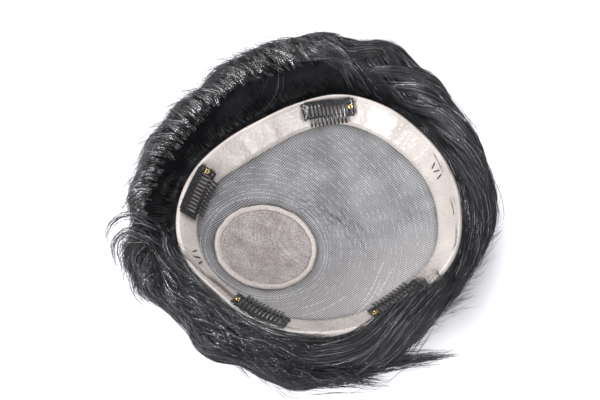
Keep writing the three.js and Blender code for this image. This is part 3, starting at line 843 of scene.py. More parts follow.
def clip_seat(degrees):
    """A clip's middle on the band's face, and its ways along the rim, inwards and off the band."""
    face, length, depth, inset = GAP + BAND_WALL, 32.0, 15.5, 1
    radius = rim_radius(degrees)
    middle, one_end, other_end = (
        on_ray(degrees + np.degrees(offset / radius), 1 - inset / radius, face)
        for offset in (0, length / 2, -length / 2))
    along = one_end - other_end
    along /= np.linalg.norm(along)
    across = on_ray(degrees, 1 - (inset + depth) / radius, face) - middle
    across -= along * across.dot(along)
    across /= np.linalg.norm(across)
    return middle, along, across, np.cross(along, across)


def sew_clip(name):
    """Black thread through the holes at the ends of a clip and over its edges into the band."""
    middle, along, across, off = clip_seat(CLIPS[name])
    tree = solid_tree(f"clip_{name}")
    above = 12
    # Each hole's distance along the clip and in from its outer edge
    holes = [(14.1, 2.5), (14.1, 6.0), (14.1, 9.5), (-14.1, 2.5), (-14.1, 9.5)]
    lines = []
    for reach, inset in holes:
        end = math.copysign(1, reach)
        start = middle + along * (reach - end * 1.3) + across * inset + off * above
        top = above - cast(tree, start, -off)
        for turn in random.normal(0, 0.45, 3):
            side = 1 if inset > 5 else -1
            way = along * end * math.cos(turn) + across * math.sin(turn) * side
            centre = middle + along * reach + across * (inset + random.normal(0, 0.2))
            # The thread's course out over the clip's end: distance and height
            profile = [(0, -0.6), (0.3, 0.15), (1.0, 0.32), (1.9, 0.25), (2.5, -0.3), (2.7, -1.2)]
            lines.append([centre + way * out + off * (top + height) for out, height in profile])
    lines = np.array(lines)
    radii = np.full(lines.shape[:2], 0.17 * MM)
    ups = np.broadcast_to(off, lines.shape)
    return make_tubes(f"sewing_{name}", place(lines), radii, ups, SEWING, sides=5)


def finish_eyelet(name):
    piece = copy_node(f"eyelet_{name}", f"rivet_{name}", BRASS)
    take_up(piece)
    rounding = piece.modifiers.new("rolled", "SUBSURF")
    rounding.levels = rounding.render_levels = 2
    bpy.ops.object.modifier_apply(modifier=rounding.name)
    bpy.ops.object.shade_smooth()
    return piece


# The hair

AROUND_COUNT = 120
ALONG_COUNT = 40
# By the angle round the rim, every 20 degrees: the way that the hair lies, in degrees turned from
# straight outwards towards counterclockwise, in the parting, on the crest and on the outer side.
LIE_PARTING = [86, 72, 30, 15, 15, 15, 0, 4, 20, 105, 98, 85, 80, 86, 112, 112, 96, 88]
LIE_CREST = [86, 82, 76, 40, 34, 25, 0, 10, 22, 68, 80, 78, 75, 80, 72, 80, 86, 88]
LIE_OUTER = [88, 86, 84, 80, 70, 58, 42, 42, 50, 66, 78, 80, 80, 78, 76, 84, 88, 88]
# How far the top layer stands out past the solid's crest, in millimetres, every 10 degrees
FULLER = [0, -1, 0, 3, 2, 4.5, 1.5, 3.5, 2, 2, -0.5, -2.5, -0.5, -2.5, -4, -4.5, -7.5, -1,
          -2, -9.5, -3.5, 1.5, -5, -4, -3.5, -8, -9, -9, -9, -10, -7.5, -8, -7.5, -5, -0.5, -0.5]


def hair_form():
    """The hair's outside from the rim out over its crest and down to the floor, as a grid of
    points and of ways out, read from the solid: (angles, places, 3) in millimetres."""
    tree = solid_tree("hair")
    angles = np.arange(AROUND_COUNT) * 360 / AROUND_COUNT
    past_rim, start_height, core_height = 4, 20, 17
    grid, lengths = [], []
    for degrees in angles:
        out = np.array([math.cos(math.radians(degrees)), math.sin(math.radians(degrees)), 0])
        radius = float(rim_radius(degrees))
        start = out * (radius + past_rim) + [0, 0, start_height - MIDDLE[2]]
        reach = cast(tree, start, out) + past_rim
        inside = np.array([radius + 0.42 * reach, core_height - MIDDLE[2]])
        first = np.array([radius - 1.6, -3.6]) - inside
        last = np.array([radius + 0.8 * reach, -MIDDLE[2] + 0.2]) - inside
        turns = np.linspace(math.atan2(first[1], first[0]), math.atan2(last[1], last[0]), 60)
        line = []
        for turn in turns:
            way = out * math.cos(turn) + np.array([0, 0, math.sin(turn)])
            origin = out * inside[0] + [0, 0, inside[1]]
            line.append(origin + way * cast(tree, origin, way))
        line = np.array(line)
        steps = np.concatenate([[0], np.cumsum(np.linalg.norm(np.diff(line, axis=0), axis=1))])
        even = np.linspace(0, steps[-1], ALONG_COUNT)
        grid.append(np.stack([np.interp(even, steps, line[:, k]) for k in range(3)], -1))
        lengths.append(steps[-1])
    grid = np.array(grid)
    for _ in range(2):
        grid = (np.roll(grid, 1, 0) + 2 * grid + np.roll(grid, -1, 0)) / 4
        grid[:, 1:-1] = (grid[:, :-2] + 2 * grid[:, 1:-1] + grid[:, 2:]) / 4
    around = np.roll(grid, -1, 0) - np.roll(grid, 1, 0)
    along = np.gradient(grid, axis=1)
    outward = unit(np.cross(along, around))
    outward = (np.roll(outward, 1, 0) + 2 * outward + np.roll(outward, -1, 0)) / 4
    past_parting = np.interp(np.linspace(0, 1, ALONG_COUNT), [0.2, 0.42, 0.8, 1], [0, 1, 1, 0.5])
    fuller = read_rows(FULLER, angles)
    grid = grid + outward * (fuller[:, None] * past_parting)[..., None]
    return grid, outward, np.array(lengths)


def cast(tree, origin, way):
    """How far it is to a solid's surface, in millimetres."""
    hit = tree.ray_cast(Vector(place(origin)), Vector(way))
    return hit[3] / MM if hit[0] is not None else 10.0


FORM, OUTWARD, FORM_LENGTH = hair_form()


def on_form(degrees, along, table=None):
    """Points on the hair's outside, at an angle and a share of the way from rim to floor."""
    table = FORM if table is None else table
    i = np.mod(degrees, 360) * AROUND_COUNT / 360
    j = np.clip(along, 0, 1) * (ALONG_COUNT - 1)
    i0, j0 = np.floor(i).astype(int), np.minimum(np.floor(j).astype(int), ALONG_COUNT - 2)
    u, v = (i - i0)[..., None], (j - j0)[..., None]
    i0, i1 = i0 % AROUND_COUNT, (i0 + 1) % AROUND_COUNT
    return ((1 - u) * ((1 - v) * table[i0, j0] + v * table[i0, j0 + 1])
            + u * ((1 - v) * table[i1, j0] + v * table[i1, j0 + 1]))


def form_length(degrees):
    i = np.mod(degrees, 360) * AROUND_COUNT / 360
    i0 = np.floor(i).astype(int)
    u = i - i0
    return (1 - u) * FORM_LENGTH[i0 % AROUND_COUNT] + u * FORM_LENGTH[(i0 + 1) % AROUND_COUNT]


def flow(degrees, along):
    """The way that the hair lies, in degrees from straight outwards."""
    inner, crest, outer = (read_rows(t, degrees) for t in (LIE_PARTING, LIE_CREST, LIE_OUTER))
    low = np.clip(along / 0.45, 0, 1)
    high = np.clip((along - 0.45) / 0.35, 0, 1)
    return inner + (crest - inner) * low + (outer - crest) * high


def comb(roots, starts, lengths, places, wander, keep=0.35):
    """Runs lines over the hair's form from their roots, along the way it lies."""
    degrees, along = roots.astype(float).copy(), starts.astype(float).copy()
    step = lengths / (places - 1)
    swing, lag = 2.2, 0.4
    track = [(degrees.copy(), along.copy())]
    for k in range(places - 1):
        seen = roots + keep * (degrees - roots)
        turn = np.radians(flow(seen, along) + wander * math.sin(swing * k / places + lag))
        point = on_form(degrees, along)
        radius = np.hypot(point[:, 0], point[:, 1])
        degrees = degrees + np.degrees(step * np.sin(turn) / radius)
        along = along + step * np.cos(turn) / form_length(degrees)
        track.append((degrees.copy(), along.copy()))
    degrees, along = (np.stack([t[k] for t in track], 1) for k in (0, 1))
    return degrees, along


def make_hair(name, lines, ups, radii, tone, lit):
    """Strands as two meshes: most are plain, and a share is smooth and catches the light."""
    smooth_ones = random.uniform(0, 1, len(lines)) < lit
    # The glossy share is also painted paler: a painted sheen on top of its real gloss.
    tone = np.where(smooth_ones, 0.35 + 0.65 * tone, tone)
    for part, chosen, material in (("", ~smooth_ones, HAIR), ("_lit", smooth_ones, GLOSSY_HAIR)):
        if chosen.any():
            make_tubes(name + part, place(lines[chosen]), radii[chosen] * MM, ups[chosen], material,
                       shade=tone[chosen])


def make_locks(name, count, spread, roots, starts, lengths, strands=12, lift=(0.2, 3.0), rise=1.2,
               width=(2.0, 4.5), wave=0.7, radius=0.17, places=7, shade=(0.2, 0.8), wander=12,
               lit=0.12):
    """Locks of hair, each a bunch of strands that starts wide, lies over the form and ends in a
    point. roots are angles round the rim and starts shares of the way out, where the locks begin.
    Lengths, lift off the form, rise of the tips, width, wave and radius are in millimetres, spread
    is how far a lock draws together, wander its stray from the hair's lie, and lit its glossy
    share."""
    roots = random.uniform(*roots, count)
    low, high = (np.interp(roots, *v) if isinstance(v, tuple) else v for v in starts)
    starts = low + (high - low) * random.uniform(0, 1, count)
    lengths = random.uniform(*lengths, count)
    degrees, along = comb(roots, starts, lengths, places, random.normal(0, wander, count))
    base = on_form(degrees, along)
    out = unit(on_form(degrees, along, OUTWARD))
    ahead = unit(np.gradient(base, axis=1))
    side = np.cross(out, ahead)
    t = np.linspace(0, 1, places)
    root_height = random.uniform(*lift, count)
    tip_rise = rise * np.minimum(random.exponential(1.0, count), 1.8)
    height = root_height[:, None] + tip_rise[:, None] * t**2.5
    total = count * strands
    pick = np.repeat(np.arange(count), strands)
    half = random.uniform(*width, count)[pick]
    across = random.normal(0, 0.5, total) * half
    stand = random.uniform(-0.5, 0.8, total) * np.minimum(half, 2.2) * 0.6
    close = 1 - spread * t[None]
    phase, phase2 = random.uniform(0, 2 * np.pi, (2, total))
    bends = random.uniform(0.7, 1.8, total)
    curl = wave * random.uniform(0.3, 1.6, total)
    turns = 2 * np.pi * bends[:, None] * t
    sway = curl[:, None] * np.sin(turns + phase[:, None]) * (0.3 + t)
    bob = 0.6 * curl[:, None] * np.sin(1.3 * turns + phase2[:, None])
    end = random.uniform(0.72, 1.0, total)
    lines = base[pick] + side[pick] * (across[:, None] * close + sway)[..., None]
    lines += out[pick] * (height[pick] + stand[:, None] * close + bob)[..., None]
    lines = shorten(lines, end)
    ups = out[pick]
    floor = -MIDDLE[2] + 0.35
    lines[..., 2] = np.maximum(lines[..., 2], floor + random.uniform(0, 1.5, total)[:, None])
    taper = np.interp(t, [0, 0.15, 0.6, 1], [0.25, 1, 0.9, 0.12])
    thick = radius * random.uniform(0.7, 1.3, total)
    tone = np.clip(random.uniform(*shade, count)[pick] + random.normal(0, 0.22, total), 0, 1)
    return make_hair(name, lines, ups, thick[:, None] * taper[None], tone, lit)


def shorten(lines, shares):
    """Each line cut to a share of its length."""
    places = lines.shape[1]
    at = np.linspace(0, 1, places)[None] * shares[:, None] * (places - 1)
    low = np.minimum(np.floor(at).astype(int), places - 2)
    part = (at - low)[..., None]
    rows = np.arange(len(lines))[:, None]
    return lines[rows, low] * (1 - part) + lines[rows, low + 1] * part


def route_path(route, places):
    """A lock's path in millimetres, its ways out, and its length. Its places are given on the
    hair's form as angle, share of the way out and height over it, or free as angle, distance past
    the rim and height over the rim's plane."""
    if "on" in route:
        rows = smooth(route["on"], places * 4)
        out = unit(on_form(rows[:, 0], rows[:, 1], OUTWARD))
        points = on_form(rows[:, 0], rows[:, 1]) + out * rows[:, 2:]
    else:
        rows = smooth(route["at"], places * 4)
        radius = rim_radius(rows[:, 0]) + rows[:, 1]
        angle = np.radians(rows[:, 0])
        points = np.stack([radius * np.cos(angle), radius * np.sin(angle), rows[:, 2]], -1)
        out = points * [0.006, 0.006, 0] + [0, 0, 1]
    steps = np.concatenate([[0], np.cumsum(np.linalg.norm(np.diff(points, axis=0), axis=1))])
    even = np.linspace(0, steps[-1], places)
    points, out = (np.stack([np.interp(even, steps, v[:, k]) for k in range(3)], -1)
                   for v in (points, out))
    return points, out, steps[-1]


def lay_locks(name, routes, lit=0.15, places=8):
    """Locks laid one by one, each along a route. Their strands start and end along it in turn, so
    that the lock is longer than its hairs, and thin out at its ends."""
    lines, ups, radii, tones = [], [], [], []
    for route in routes:
        path, ways_out, length = route_path(route, 60)
        count = route["strands"]
        share = np.clip(random.uniform(*route.get("hair", (40, 65)), count) / length, 0.2, 1)
        start = random.uniform(0, 1, count) * (1 - share)
        t = start[:, None] + share[:, None] * np.linspace(0, 1, places)[None]
        even = np.linspace(0, 1, 60)
        line, out = (np.stack([np.interp(t, even, v[:, k]) for k in range(3)], -1)
                     for v in (path, ways_out))
        ahead = unit(np.gradient(line, axis=1))
        side = unit(np.cross(out, ahead))
        up = np.cross(ahead, side)
        width = np.interp(t, np.linspace(0, 1, len(route["width"])), route["width"])
        across = random.normal(0, 0.42, count)[:, None] * width
        thick = route.get("thick", 4)
        depth = random.uniform(-0.6, 0.4, count)[:, None] * np.minimum(width, thick) * 0.8
        own = np.linspace(0, 1, places)[None]
        stray = random.normal(0, route.get("fray", 1.5), (2, count, 1)) * own**2
        wave = route.get("wave", 0.4) * random.uniform(0.3, 1.5, (count, 1))
        phase = random.uniform(0, 2 * np.pi, (2, count, 1))
        bends = random.uniform(0.8, 2.2, (count, 1))
        across = across + stray[0] + wave * np.sin(2 * np.pi * bends * own + phase[0])
        turns = 2 * np.pi * bends * own
        depth = depth + np.abs(stray[1]) * 0.5 + 0.6 * wave * np.sin(turns + phase[1])
        line = line + side * across[..., None] + up * depth[..., None]
        line[..., 2] = np.maximum(line[..., 2], -MIDDLE[2] + 0.4)
        taper = np.interp(own, [0, 0.15, 0.6, 1], [0.3, 1, 0.85, 0.12])
        strand = route.get("radius", 0.17) * random.uniform(0.7, 1.3, (count, 1))
        lines.append(line)
        ups.append(up)
        radii.append(strand * taper)
        tones.append(np.clip(random.normal(route.get("shade", 0.55), 0.25, count), 0, 1))
    lines, ups, radii, tones = (np.concatenate(v) for v in (lines, ups, radii, tones))
    make_hair(name, lines, ups, radii, tones, lit)


# Locks that show one by one. "at" is free: angle round the rim, distance past the rim, height over
# its plane. "on" lies on the hair's form: angle, share of the way out and down, height over it.
FLICK = [
    dict(at=[(165, 6, -8), (163, 16, -3), (160, 25, 0), (161, 33, 0), (164, 39, -3), (168, 41, -9)],
         strands=26, width=[5, 5, 4, 2], thick=3, fray=1.6, wave=0.4, hair=(32, 52), shade=0.7),
    dict(at=[(170, 8, -9), (167, 18, -4), (165, 28, -2), (167, 36, -5), (171, 38, -10),
             (175, 36, -16)],
         strands=38, width=[5, 6, 5, 2], thick=3, fray=1.8, wave=0.5, hair=(28, 46), shade=0.7),
    dict(at=[(174, 10, -10), (170, 20, -5), (169, 28, -5), (172, 31, -9), (177, 31, -16)],
         strands=70, width=[6, 9, 6, 3], thick=4, fray=1.8, wave=0.8, hair=(26, 42), shade=0.6),
    dict(at=[(180, 10, -9), (177, 20, -6), (178, 26, -9), (182, 29, -16), (186, 27, -24)],
         strands=80, width=[6, 9, 8, 4], thick=5, fray=1.8, wave=0.8, hair=(26, 40), shade=0.6),
    dict(on=[(180, 0.3, 2), (180, 0.42, 3), (183, 0.5, 3), (188, 0.54, 2.5), (192, 0.56, 2)],
         strands=110, width=[8, 8, 6, 2], thick=5, fray=1.2, wave=0.8, hair=(20, 32), shade=0.6),
    dict(on=[(158, 0.3, 2), (164, 0.24, 3.2), (170, 0.17, 3.4), (177, 0.1, 3), (186, 0.04, 2.5),
             (197, 0.0, 2)],
         strands=70, width=[6, 5, 5, 5, 4], thick=2.5, fray=1.2, wave=0.3, hair=(28, 46),
         shade=0.8),
    dict(on=[(162, 0.36, 2), (169, 0.28, 3), (177, 0.22, 3), (186, 0.16, 2.5), (197, 0.11, 2),
             (209, 0.08, 1.5)],
         strands=130, width=[7, 8, 8, 7, 5], thick=3, fray=1.2, wave=0.3, hair=(28, 46),
         shade=0.45),
]
# The tips of the right side's locks point back over the parting. Their pale tones are partly
# painted sheen.
RIGHT_SWEEP = [
    dict(on=[(10, 0.46, 1), (22, 0.44, 1.8), (34, 0.4, 2.6), (45, 0.34, 3), (55, 0.28, 3)],
         strands=120, width=[9, 9, 7, 4, 0.8], thick=3, wave=0.15, hair=(36, 60), fray=0.5,
         shade=0.75),
    dict(on=[(6, 0.41, 1), (17, 0.39, 1.8), (29, 0.35, 2.6), (40, 0.29, 3), (50, 0.23, 3)],
         strands=110, width=[8, 8, 6, 3.5, 0.6], thick=3, wave=0.15, hair=(34, 56), fray=0.5,
         shade=0.8),
    dict(on=[(0, 0.36, 1), (11, 0.34, 1.8), (22, 0.3, 2.6), (32, 0.24, 3), (41, 0.19, 3)],
         strands=110, width=[8, 8, 6, 3.5, 0.6], thick=3, wave=0.15, hair=(34, 56), fray=0.5,
         shade=0.8),
    dict(on=[(-14, 0.32, 1), (-3, 0.31, 1.6), (8, 0.28, 2), (17, 0.23, 2), (25, 0.18, 2)],
         strands=110, width=[8, 8, 6, 3, 0.5], thick=3, wave=0.15, hair=(32, 50), fray=0.5,
         shade=0.8),
    dict(on=[(-34, 0.24, 0.8), (-22, 0.24, 1.2), (-10, 0.22, 1.6), (2, 0.18, 1.8), (14, 0.13, 1.6)],
         strands=190, width=[11, 11, 10, 7, 3], thick=3, wave=0.15, hair=(36, 60), fray=0.7,
         shade=0.75),
    dict(on=[(-50, 0.16, 0.8), (-36, 0.14, 1.2), (-22, 0.12, 1.6), (-8, 0.1, 1.8), (8, 0.07, 1.8),
             (20, 0.06, 1.6)],
         strands=210, width=[7, 7, 7, 6, 4], thick=2, wave=0.15, hair=(36, 60), fray=0.7,
         shade=0.75),
    dict(on=[(-14, 0.56, 0.5), (4, 0.54, 1), (22, 0.52, 1.5), (40, 0.5, 1.5), (56, 0.48, 1),
             (70, 0.46, 0.6)],
         strands=280, width=[12, 12, 12, 10, 7, 3], thick=3, wave=0.15, hair=(46, 76), fray=0.7,
         shade=0.55),
    dict(on=[(-40, 0.5, 0.5), (-24, 0.48, 0.6), (-8, 0.46, 1), (8, 0.44, 1), (22, 0.42, 0.8)],
         strands=220, width=[11, 12, 12, 9, 4], thick=3, wave=0.15, hair=(42, 70), fray=0.7,
         shade=0.6),
    dict(on=[(46, 0.42, 1), (58, 0.4, 1.5), (68, 0.4, 1.5), (78, 0.42, 1.2), (88, 0.46, 0.6)],
         strands=150, width=[9, 9, 8, 6, 2], thick=3, wave=0.2, hair=(34, 52), fray=0.9, shade=0.5),
    dict(on=[(52, 0.26, 1), (57, 0.32, 2), (64, 0.39, 2), (75, 0.46, 0.8)],
         strands=60, width=[2, 5, 6, 5], thick=2, wave=0.15, hair=(20, 32), fray=0.8, shade=1.0),
    dict(on=[(60, 0.27, 1), (65, 0.33, 2), (72, 0.4, 2), (82, 0.46, 0.8)],
         strands=50, width=[2, 5, 6, 5], thick=2, wave=0.15, hair=(20, 32), fray=0.8, shade=1.0),
]
NEAR_SWEEP = [
    dict(on=[(196, 0.14, 1), (208, 0.13, 1.2), (222, 0.1, 1.2), (236, 0.08, 1), (250, 0.1, 1)],
         strands=170, width=[6, 9, 9, 7], thick=3, wave=0.4, hair=(34, 56), fray=1.2, shade=0.6),
    dict(at=[(240, 9, -6), (252, 8, -5), (262, 7, -3), (271, 4, 1), (280, 0, 3.6), (290, -2, 4.2),
             (299, -2, 3)],
         strands=170, width=[6, 7, 7, 5, 3], thick=2.5, wave=0.25, hair=(34, 54), fray=1.0,
         shade=0.6),
    dict(at=[(258, 16, -11), (266, 12, -7), (273, 8, -2), (281, 4, 3), (290, 1, 4.4), (299, 0, 3.4),
             (307, 1, 0.5)],
         strands=260, width=[10, 10, 8, 7, 5], thick=3, wave=0.25, hair=(30, 50), fray=1.2,
         shade=0.6),
    dict(at=[(266, 18, -13), (274, 15, -9), (283, 10, -3), (292, 6, 1.5), (301, 4, 2), (311, 4, 0)],
         strands=230, width=[10, 10, 9, 7, 5], thick=3, wave=0.25, hair=(32, 52), fray=1.2,
         shade=0.6),
    dict(at=[(240, 13, -12), (254, 14, -14), (266, 16, -15), (276, 20, -15), (285, 27, -14),
             (294, 37, -12)],
         strands=170, width=[9, 9, 7, 4, 1.4], thick=5, wave=0.3, hair=(34, 56), fray=1.3,
         shade=0.4),
    dict(at=[(268, 17, -15), (276, 21, -15), (283, 26, -13), (288, 33, -9)],
         strands=36, width=[5, 4, 4, 5], thick=3, wave=0.3, hair=(20, 34), fray=2.2, shade=0.5,
         radius=0.12),
    dict(at=[(228, 15, -18), (242, 16, -20), (254, 18, -21), (264, 22, -21), (274, 30, -21)],
         strands=150, width=[10, 9, 7, 4], thick=6, wave=0.5, hair=(32, 50), fray=1.8, shade=0.4),
    dict(at=[(252, 16, -21), (262, 18, -22), (270, 24, -22)],
         strands=60, width=[7, 6, 8], thick=5, wave=0.5, hair=(16, 30), fray=3.0, shade=0.5,
         radius=0.11),
    dict(at=[(296, 8, -8), (303, 12, -10), (309, 16, -12), (314, 22, -12)],
         strands=44, width=[9, 9, 9], thick=4, wave=0.25, hair=(16, 24), fray=2.0, shade=0.5,
         radius=0.1),
]
OVER_BAND = [
    dict(at=[(297, 5, 3), (300, 0, 3), (303, -4, -0.6), (305, -9, -4.6), (306, -13, -8.4)],
         strands=26, width=[8, 6, 5, 6], thick=0.6, wave=0.2, hair=(12, 22), fray=0.7, shade=0.2,
         radius=0.12),
    dict(at=[(303, 5, 2), (306, 1, 3), (309, -3, 0.2), (312, -7, -3.4)],
         strands=14, width=[6, 5, 5, 6], thick=0.6, wave=0.2, hair=(10, 18), fray=0.7, shade=0.2,
         radius=0.12),
    dict(at=[(164, 10, -4), (171, 5, -2), (178, 0, 1), (187, -3, -0.6), (197, -5, -2.6),
             (206, -5, -2.6)],
         strands=16, width=[5, 5, 6, 6], thick=0.4, wave=0.3, hair=(26, 44), fray=0.6, shade=0.6,
         radius=0.11),
    dict(at=[(170, 2, -1), (188, 1.6, -0.2), (206, 1.5, 0.1), (224, 1.5, 0.1), (242, 1.5, 0.1),
             (260, 1.6, 0.4)],
         strands=130, width=[2.2, 2.2, 2.2, 2.2], thick=0.8, wave=0.25, hair=(20, 38), fray=0.5,
         shade=0.35, radius=0.13),
    dict(on=[(84, 0.36, 1.5), (86, 0.26, 3), (92, 0.17, 3), (101, 0.08, 2)],
         strands=2, width=[3, 3], thick=0.5, wave=0.2, hair=(34, 40), fray=0.8, shade=1.0,
         radius=0.13),
    dict(on=[(80, 0.4, 1), (90, 0.3, 2), (97, 0.2, 2), (110, 0.12, 1.5)],
         strands=2, width=[8, 4], thick=0.5, wave=0.3, hair=(24, 34), fray=1, shade=0.9,
         radius=0.1),
]


# Loose hairs that stand off the outline: far left, at the near right and along the near side.
FRINGE = [
    dict(on=[(start, 0.42, 1.5), (start + 3, 0.5, 4), (start + 6, 0.56, 7), (start + 10, 0.6, 10)],
         strands=16, width=[8, 9, 12, 16], thick=3, wave=0.7, hair=(12, 24), fray=2.5, shade=0.3,
         radius=0.1)
    for start in range(80, 178, 7)
] + [
    dict(on=[(start, 0.4, 1.5), (start + 4, 0.48, 4), (start + 8, 0.54, 7), (start + 13, 0.58, 9)],
         strands=12, width=[8, 9, 12, 14], thick=3, wave=0.5, hair=(14, 26), fray=2.2, shade=0.3,
         radius=0.1)
    for start in range(216, 330, 8)
]


def under_hair():
    """The mass that the strands lie on."""
    depth, off_floor, rim_share, rim_drop = 1.4, 0.3, 0.985, 1.2
    under_net = -(NET_WALL + GAP + 0.6)
    points = FORM - OUTWARD * depth
    points[..., 2] = np.maximum(points[..., 2], -MIDDLE[2] + off_floor)
    points[:, 0] = FORM[:, 0] * [rim_share, rim_share, 1] + [0, 0, -rim_drop]
    ring = points.reshape(-1, 3)
    faces = loop_faces(AROUND_COUNT, ALONG_COUNT, True, False)
    bottom = len(ring)
    points = np.concatenate([ring, [[0, 0, -MIDDLE[2] + off_floor]]])
    last = ALONG_COUNT - 1
    faces += [(bottom, ((i + 1) % AROUND_COUNT) * ALONG_COUNT + last, i * ALONG_COUNT + last)
              for i in range(AROUND_COUNT)]
    shares = [0.93, 0.8, 0.66, 0.52, 0.38, 0.24, 0.1]
    angles = np.arange(AROUND_COUNT) * 360 / AROUND_COUNT
    under = np.stack([on_ray(angles, share, under_net) for share in shares], 1)
    first, rows = len(points), len(shares)
    points = np.concatenate([points, under.reshape(-1, 3),
                             on_dome(0, 0, under_net)[None]])
    for i in range(AROUND_COUNT):
        k = (i + 1) % AROUND_COUNT
        a, b = first + i * rows, first + k * rows
        faces.append((i * ALONG_COUNT, k * ALONG_COUNT, b, a))
        faces += [(a + j, b + j, b + j + 1, a + j + 1) for j in range(rows - 1)]
        faces.append((len(points) - 1, a + rows - 1, b + rows - 1))
    piece = make_piece("hair_depths", place(points), faces, UNDER_HAIR)
    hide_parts("hair")
    return piece


def hair():
    under_hair()
    # Painted shade: the parting's hairs get the darkest tones, for the shaded valley by the rim.
    make_locks("locks_parting", count=150, spread=0.1, roots=(50, 168), starts=(0.04, 0.16),
               lengths=(8, 15), strands=12, lift=(0, 0.4), rise=0,
               width=(3, 5), wave=0.1, radius=0.17, places=5, shade=(0, 0.1), wander=5, lit=0)
    make_locks("locks_parting_front", count=110, spread=0.2, roots=(-40, 62), starts=(0.03, 0.12),
               lengths=(12, 24), strands=12, lift=(0.5, 2.6),
               rise=0.2, width=(3, 5), wave=0.1, radius=0.15, places=6, shade=(0.2, 0.9), wander=8)
    dip = ([60, 85, 105, 122, 135, 150, 170], [0.31, 0.32, 0.32, 0.26, 0.25, 0.27, 0.28])
    make_locks("locks_far_left", count=340, spread=0.5, roots=(60, 168), starts=(dip, 0.46),
               lengths=(18, 34), strands=10, lift=(0.2, 2.4),
               rise=1.5, width=(1.2, 3), wave=0.12, radius=0.165, shade=(0.0, 0.4), wander=12,
               lit=0.5)
    make_locks("locks_crest", count=170, spread=0.2, roots=(70, 160), starts=(0.32, 0.46),
               lengths=(12, 24), strands=6, lift=(1.5, 3.8),
               rise=1.8, width=(0.8, 2.4), wave=0.12, radius=0.15, places=7, shade=(0.0, 0.7),
               wander=18, lit=0.9)
    make_locks("locks_front", count=230, spread=0.4, roots=(-70, 60), starts=(0.04, 0.55),
               lengths=(34, 60), strands=12, lift=(0, 1.4), rise=0.4,
               width=(2.5, 5), wave=0.1, radius=0.14, shade=(0.0, 0.9), wander=4, lit=0.16)
    make_locks("locks_near", count=330, spread=0.3, roots=(168, 300), starts=(0.03, 0.6),
               lengths=(20, 38), wave=0.85, shade=(0.0, 0.75),
               radius=0.135, rise=0.8, wander=20, lit=0.1)
    make_locks("locks_near_loose", count=380, spread=0.2, roots=(172, 292), starts=(0.02, 0.55),
               lengths=(10, 22), strands=5, lift=(1.2, 3.4), rise=0.6,
               width=(1, 3), wave=0.9, radius=0.09, places=6, shade=(0.1, 0.9), wander=38, lit=0.12)
    make_locks("locks_outer", count=250, spread=0.4, roots=(0, 360), starts=(0.48, 0.85),
               lengths=(22, 40), wave=0.5, rise=1.2, places=6, lit=0.06)
    make_locks("locks_flyaway", count=300, spread=0.1, roots=(0, 360), starts=(0.3, 0.6),
               lengths=(16, 30), strands=3, lift=(0.5, 3), rise=3,
               width=(2, 6), wave=0.8, radius=0.1, shade=(0.1, 0.8), wander=24, lit=0.1)
    make_locks("locks_flyaway_left", count=420, spread=0.1, roots=(88, 178), starts=(0.38, 0.6),
               lengths=(12, 24), strands=2, lift=(2, 4), rise=3.6,
               width=(2, 5), wave=0.5, radius=0.095, shade=(0.0, 0.5), wander=28, lit=0)
    # The near left's loose hairs are pale: partly their own frizz, partly painted light from the
    # front.
    make_locks("locks_near_left", count=150, spread=0.2, roots=(170, 212), starts=(0.04, 0.5),
               lengths=(12, 26), strands=6, lift=(1.6, 3.4), rise=0.8,
               width=(1, 3), wave=0.8, radius=0.1, places=7, shade=(0.4, 1.0), wander=30, lit=0.3)
    make_locks("locks_low", count=330, spread=0.4, roots=(0, 360), starts=(0.7, 0.98),
               lengths=(18, 32), strands=10, lift=(0, 1.5), wave=0.4, rise=0.5,
               width=(2, 5), places=6, lit=0.06)
    lay_locks("locks_flick", FLICK, lit=0.15)
    lay_locks("locks_right", RIGHT_SWEEP, lit=0.25)
    lay_locks("locks_front_right", NEAR_SWEEP, lit=0.12)
    lay_locks("locks_over_band", OVER_BAND, lit=0.2)
    lay_locks("locks_fringe", FRINGE, lit=0.05)


# Stage and camera

PHOTO_WIDTH = 600


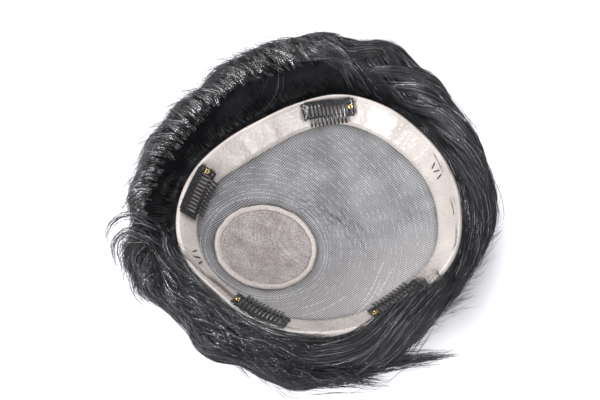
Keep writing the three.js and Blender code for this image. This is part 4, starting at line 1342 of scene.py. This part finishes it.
def camera_and_light():
    """The camera as it stood for the photo, found from the rim's outline, and plain soft light."""
    right = Vector((0.9336, -0.3584, 0.0)).normalized()
    back = Vector((-0.1458, -0.3797, 0.9135)).normalized()
    up = back.cross(right).normalized()
    right = up.cross(back).normalized()
    target, distance = Vector(place([-1.19, -1.30, 0])), 0.4666
    data = bpy.data.cameras.new("camera")
    data.lens = 50
    data.sensor_width = 36
    data.shift_x, data.shift_y = -19 / PHOTO_WIDTH, 14 / PHOTO_WIDTH
    data.clip_start = 0.01
    camera = bpy.data.objects.new("camera", data)
    bpy.context.scene.collection.objects.link(camera)
    turned = Matrix((right, up, back)).transposed().to_4x4()
    camera.matrix_world = Matrix.Translation(target + back * distance) @ turned
    bpy.context.scene.camera = camera

    bpy.ops.mesh.primitive_plane_add(size=12, location=(0, 0, 0))
    floor = bpy.context.active_object
    floor.name = "floor"
    material, _, shader = new_material("white_paper", (0.88, 0.88, 0.9), 0.9)
    shader.inputs["Emission Color"].default_value = (0.97, 0.97, 1, 1)
    shader.inputs["Emission Strength"].default_value = 0.25
    floor.data.materials.append(material)

    world = bpy.data.worlds.new("studio")
    world.use_nodes = True
    world.node_tree.nodes["Background"].inputs["Color"].default_value = (1, 1, 1, 1)
    world.node_tree.nodes["Background"].inputs["Strength"].default_value = 0.22
    bpy.context.scene.world = world
    bpy.context.scene.view_settings.view_transform = "Standard"
    soft_light("left box", azimuth=205, elevation=28, distance=1.0, size=0.4, power=11)
    soft_light("right box", azimuth=285, elevation=28, distance=1.0, size=0.4, power=3)
    soft_light("overhead", azimuth=200, elevation=76, distance=1.0, size=0.6, power=3)
    soft_light("back box", azimuth=75, elevation=48, distance=1.2, size=0.8, power=10.5)


def soft_light(name, azimuth, elevation, distance, size, power):
    data = bpy.data.lights.new(name, "AREA")
    data.shape = "DISK"
    data.size = size
    data.energy = power
    data.color = (0.96, 0.97, 1.0)
    lamp = bpy.data.objects.new(name, data)
    bpy.context.scene.collection.objects.link(lamp)
    a, e = math.radians(azimuth), math.radians(elevation)
    away = Vector((math.cos(a) * math.cos(e), math.sin(a) * math.cos(e), math.sin(e)))
    lamp.location = away * distance
    lamp.rotation_euler = away.to_track_quat("Z", "Y").to_euler()


camera_and_light()
deselect()
net_sheet()
net_threads()
band()
stitches()
crown_patch()
patch_border()
seam_rings()
weft_rows()
net_folds()
hair_under_net()
pen_ticks()
for name in CLIPS:
    finish_clip(name)
    finish_eyelet(name)
    sew_clip(name)
hair()
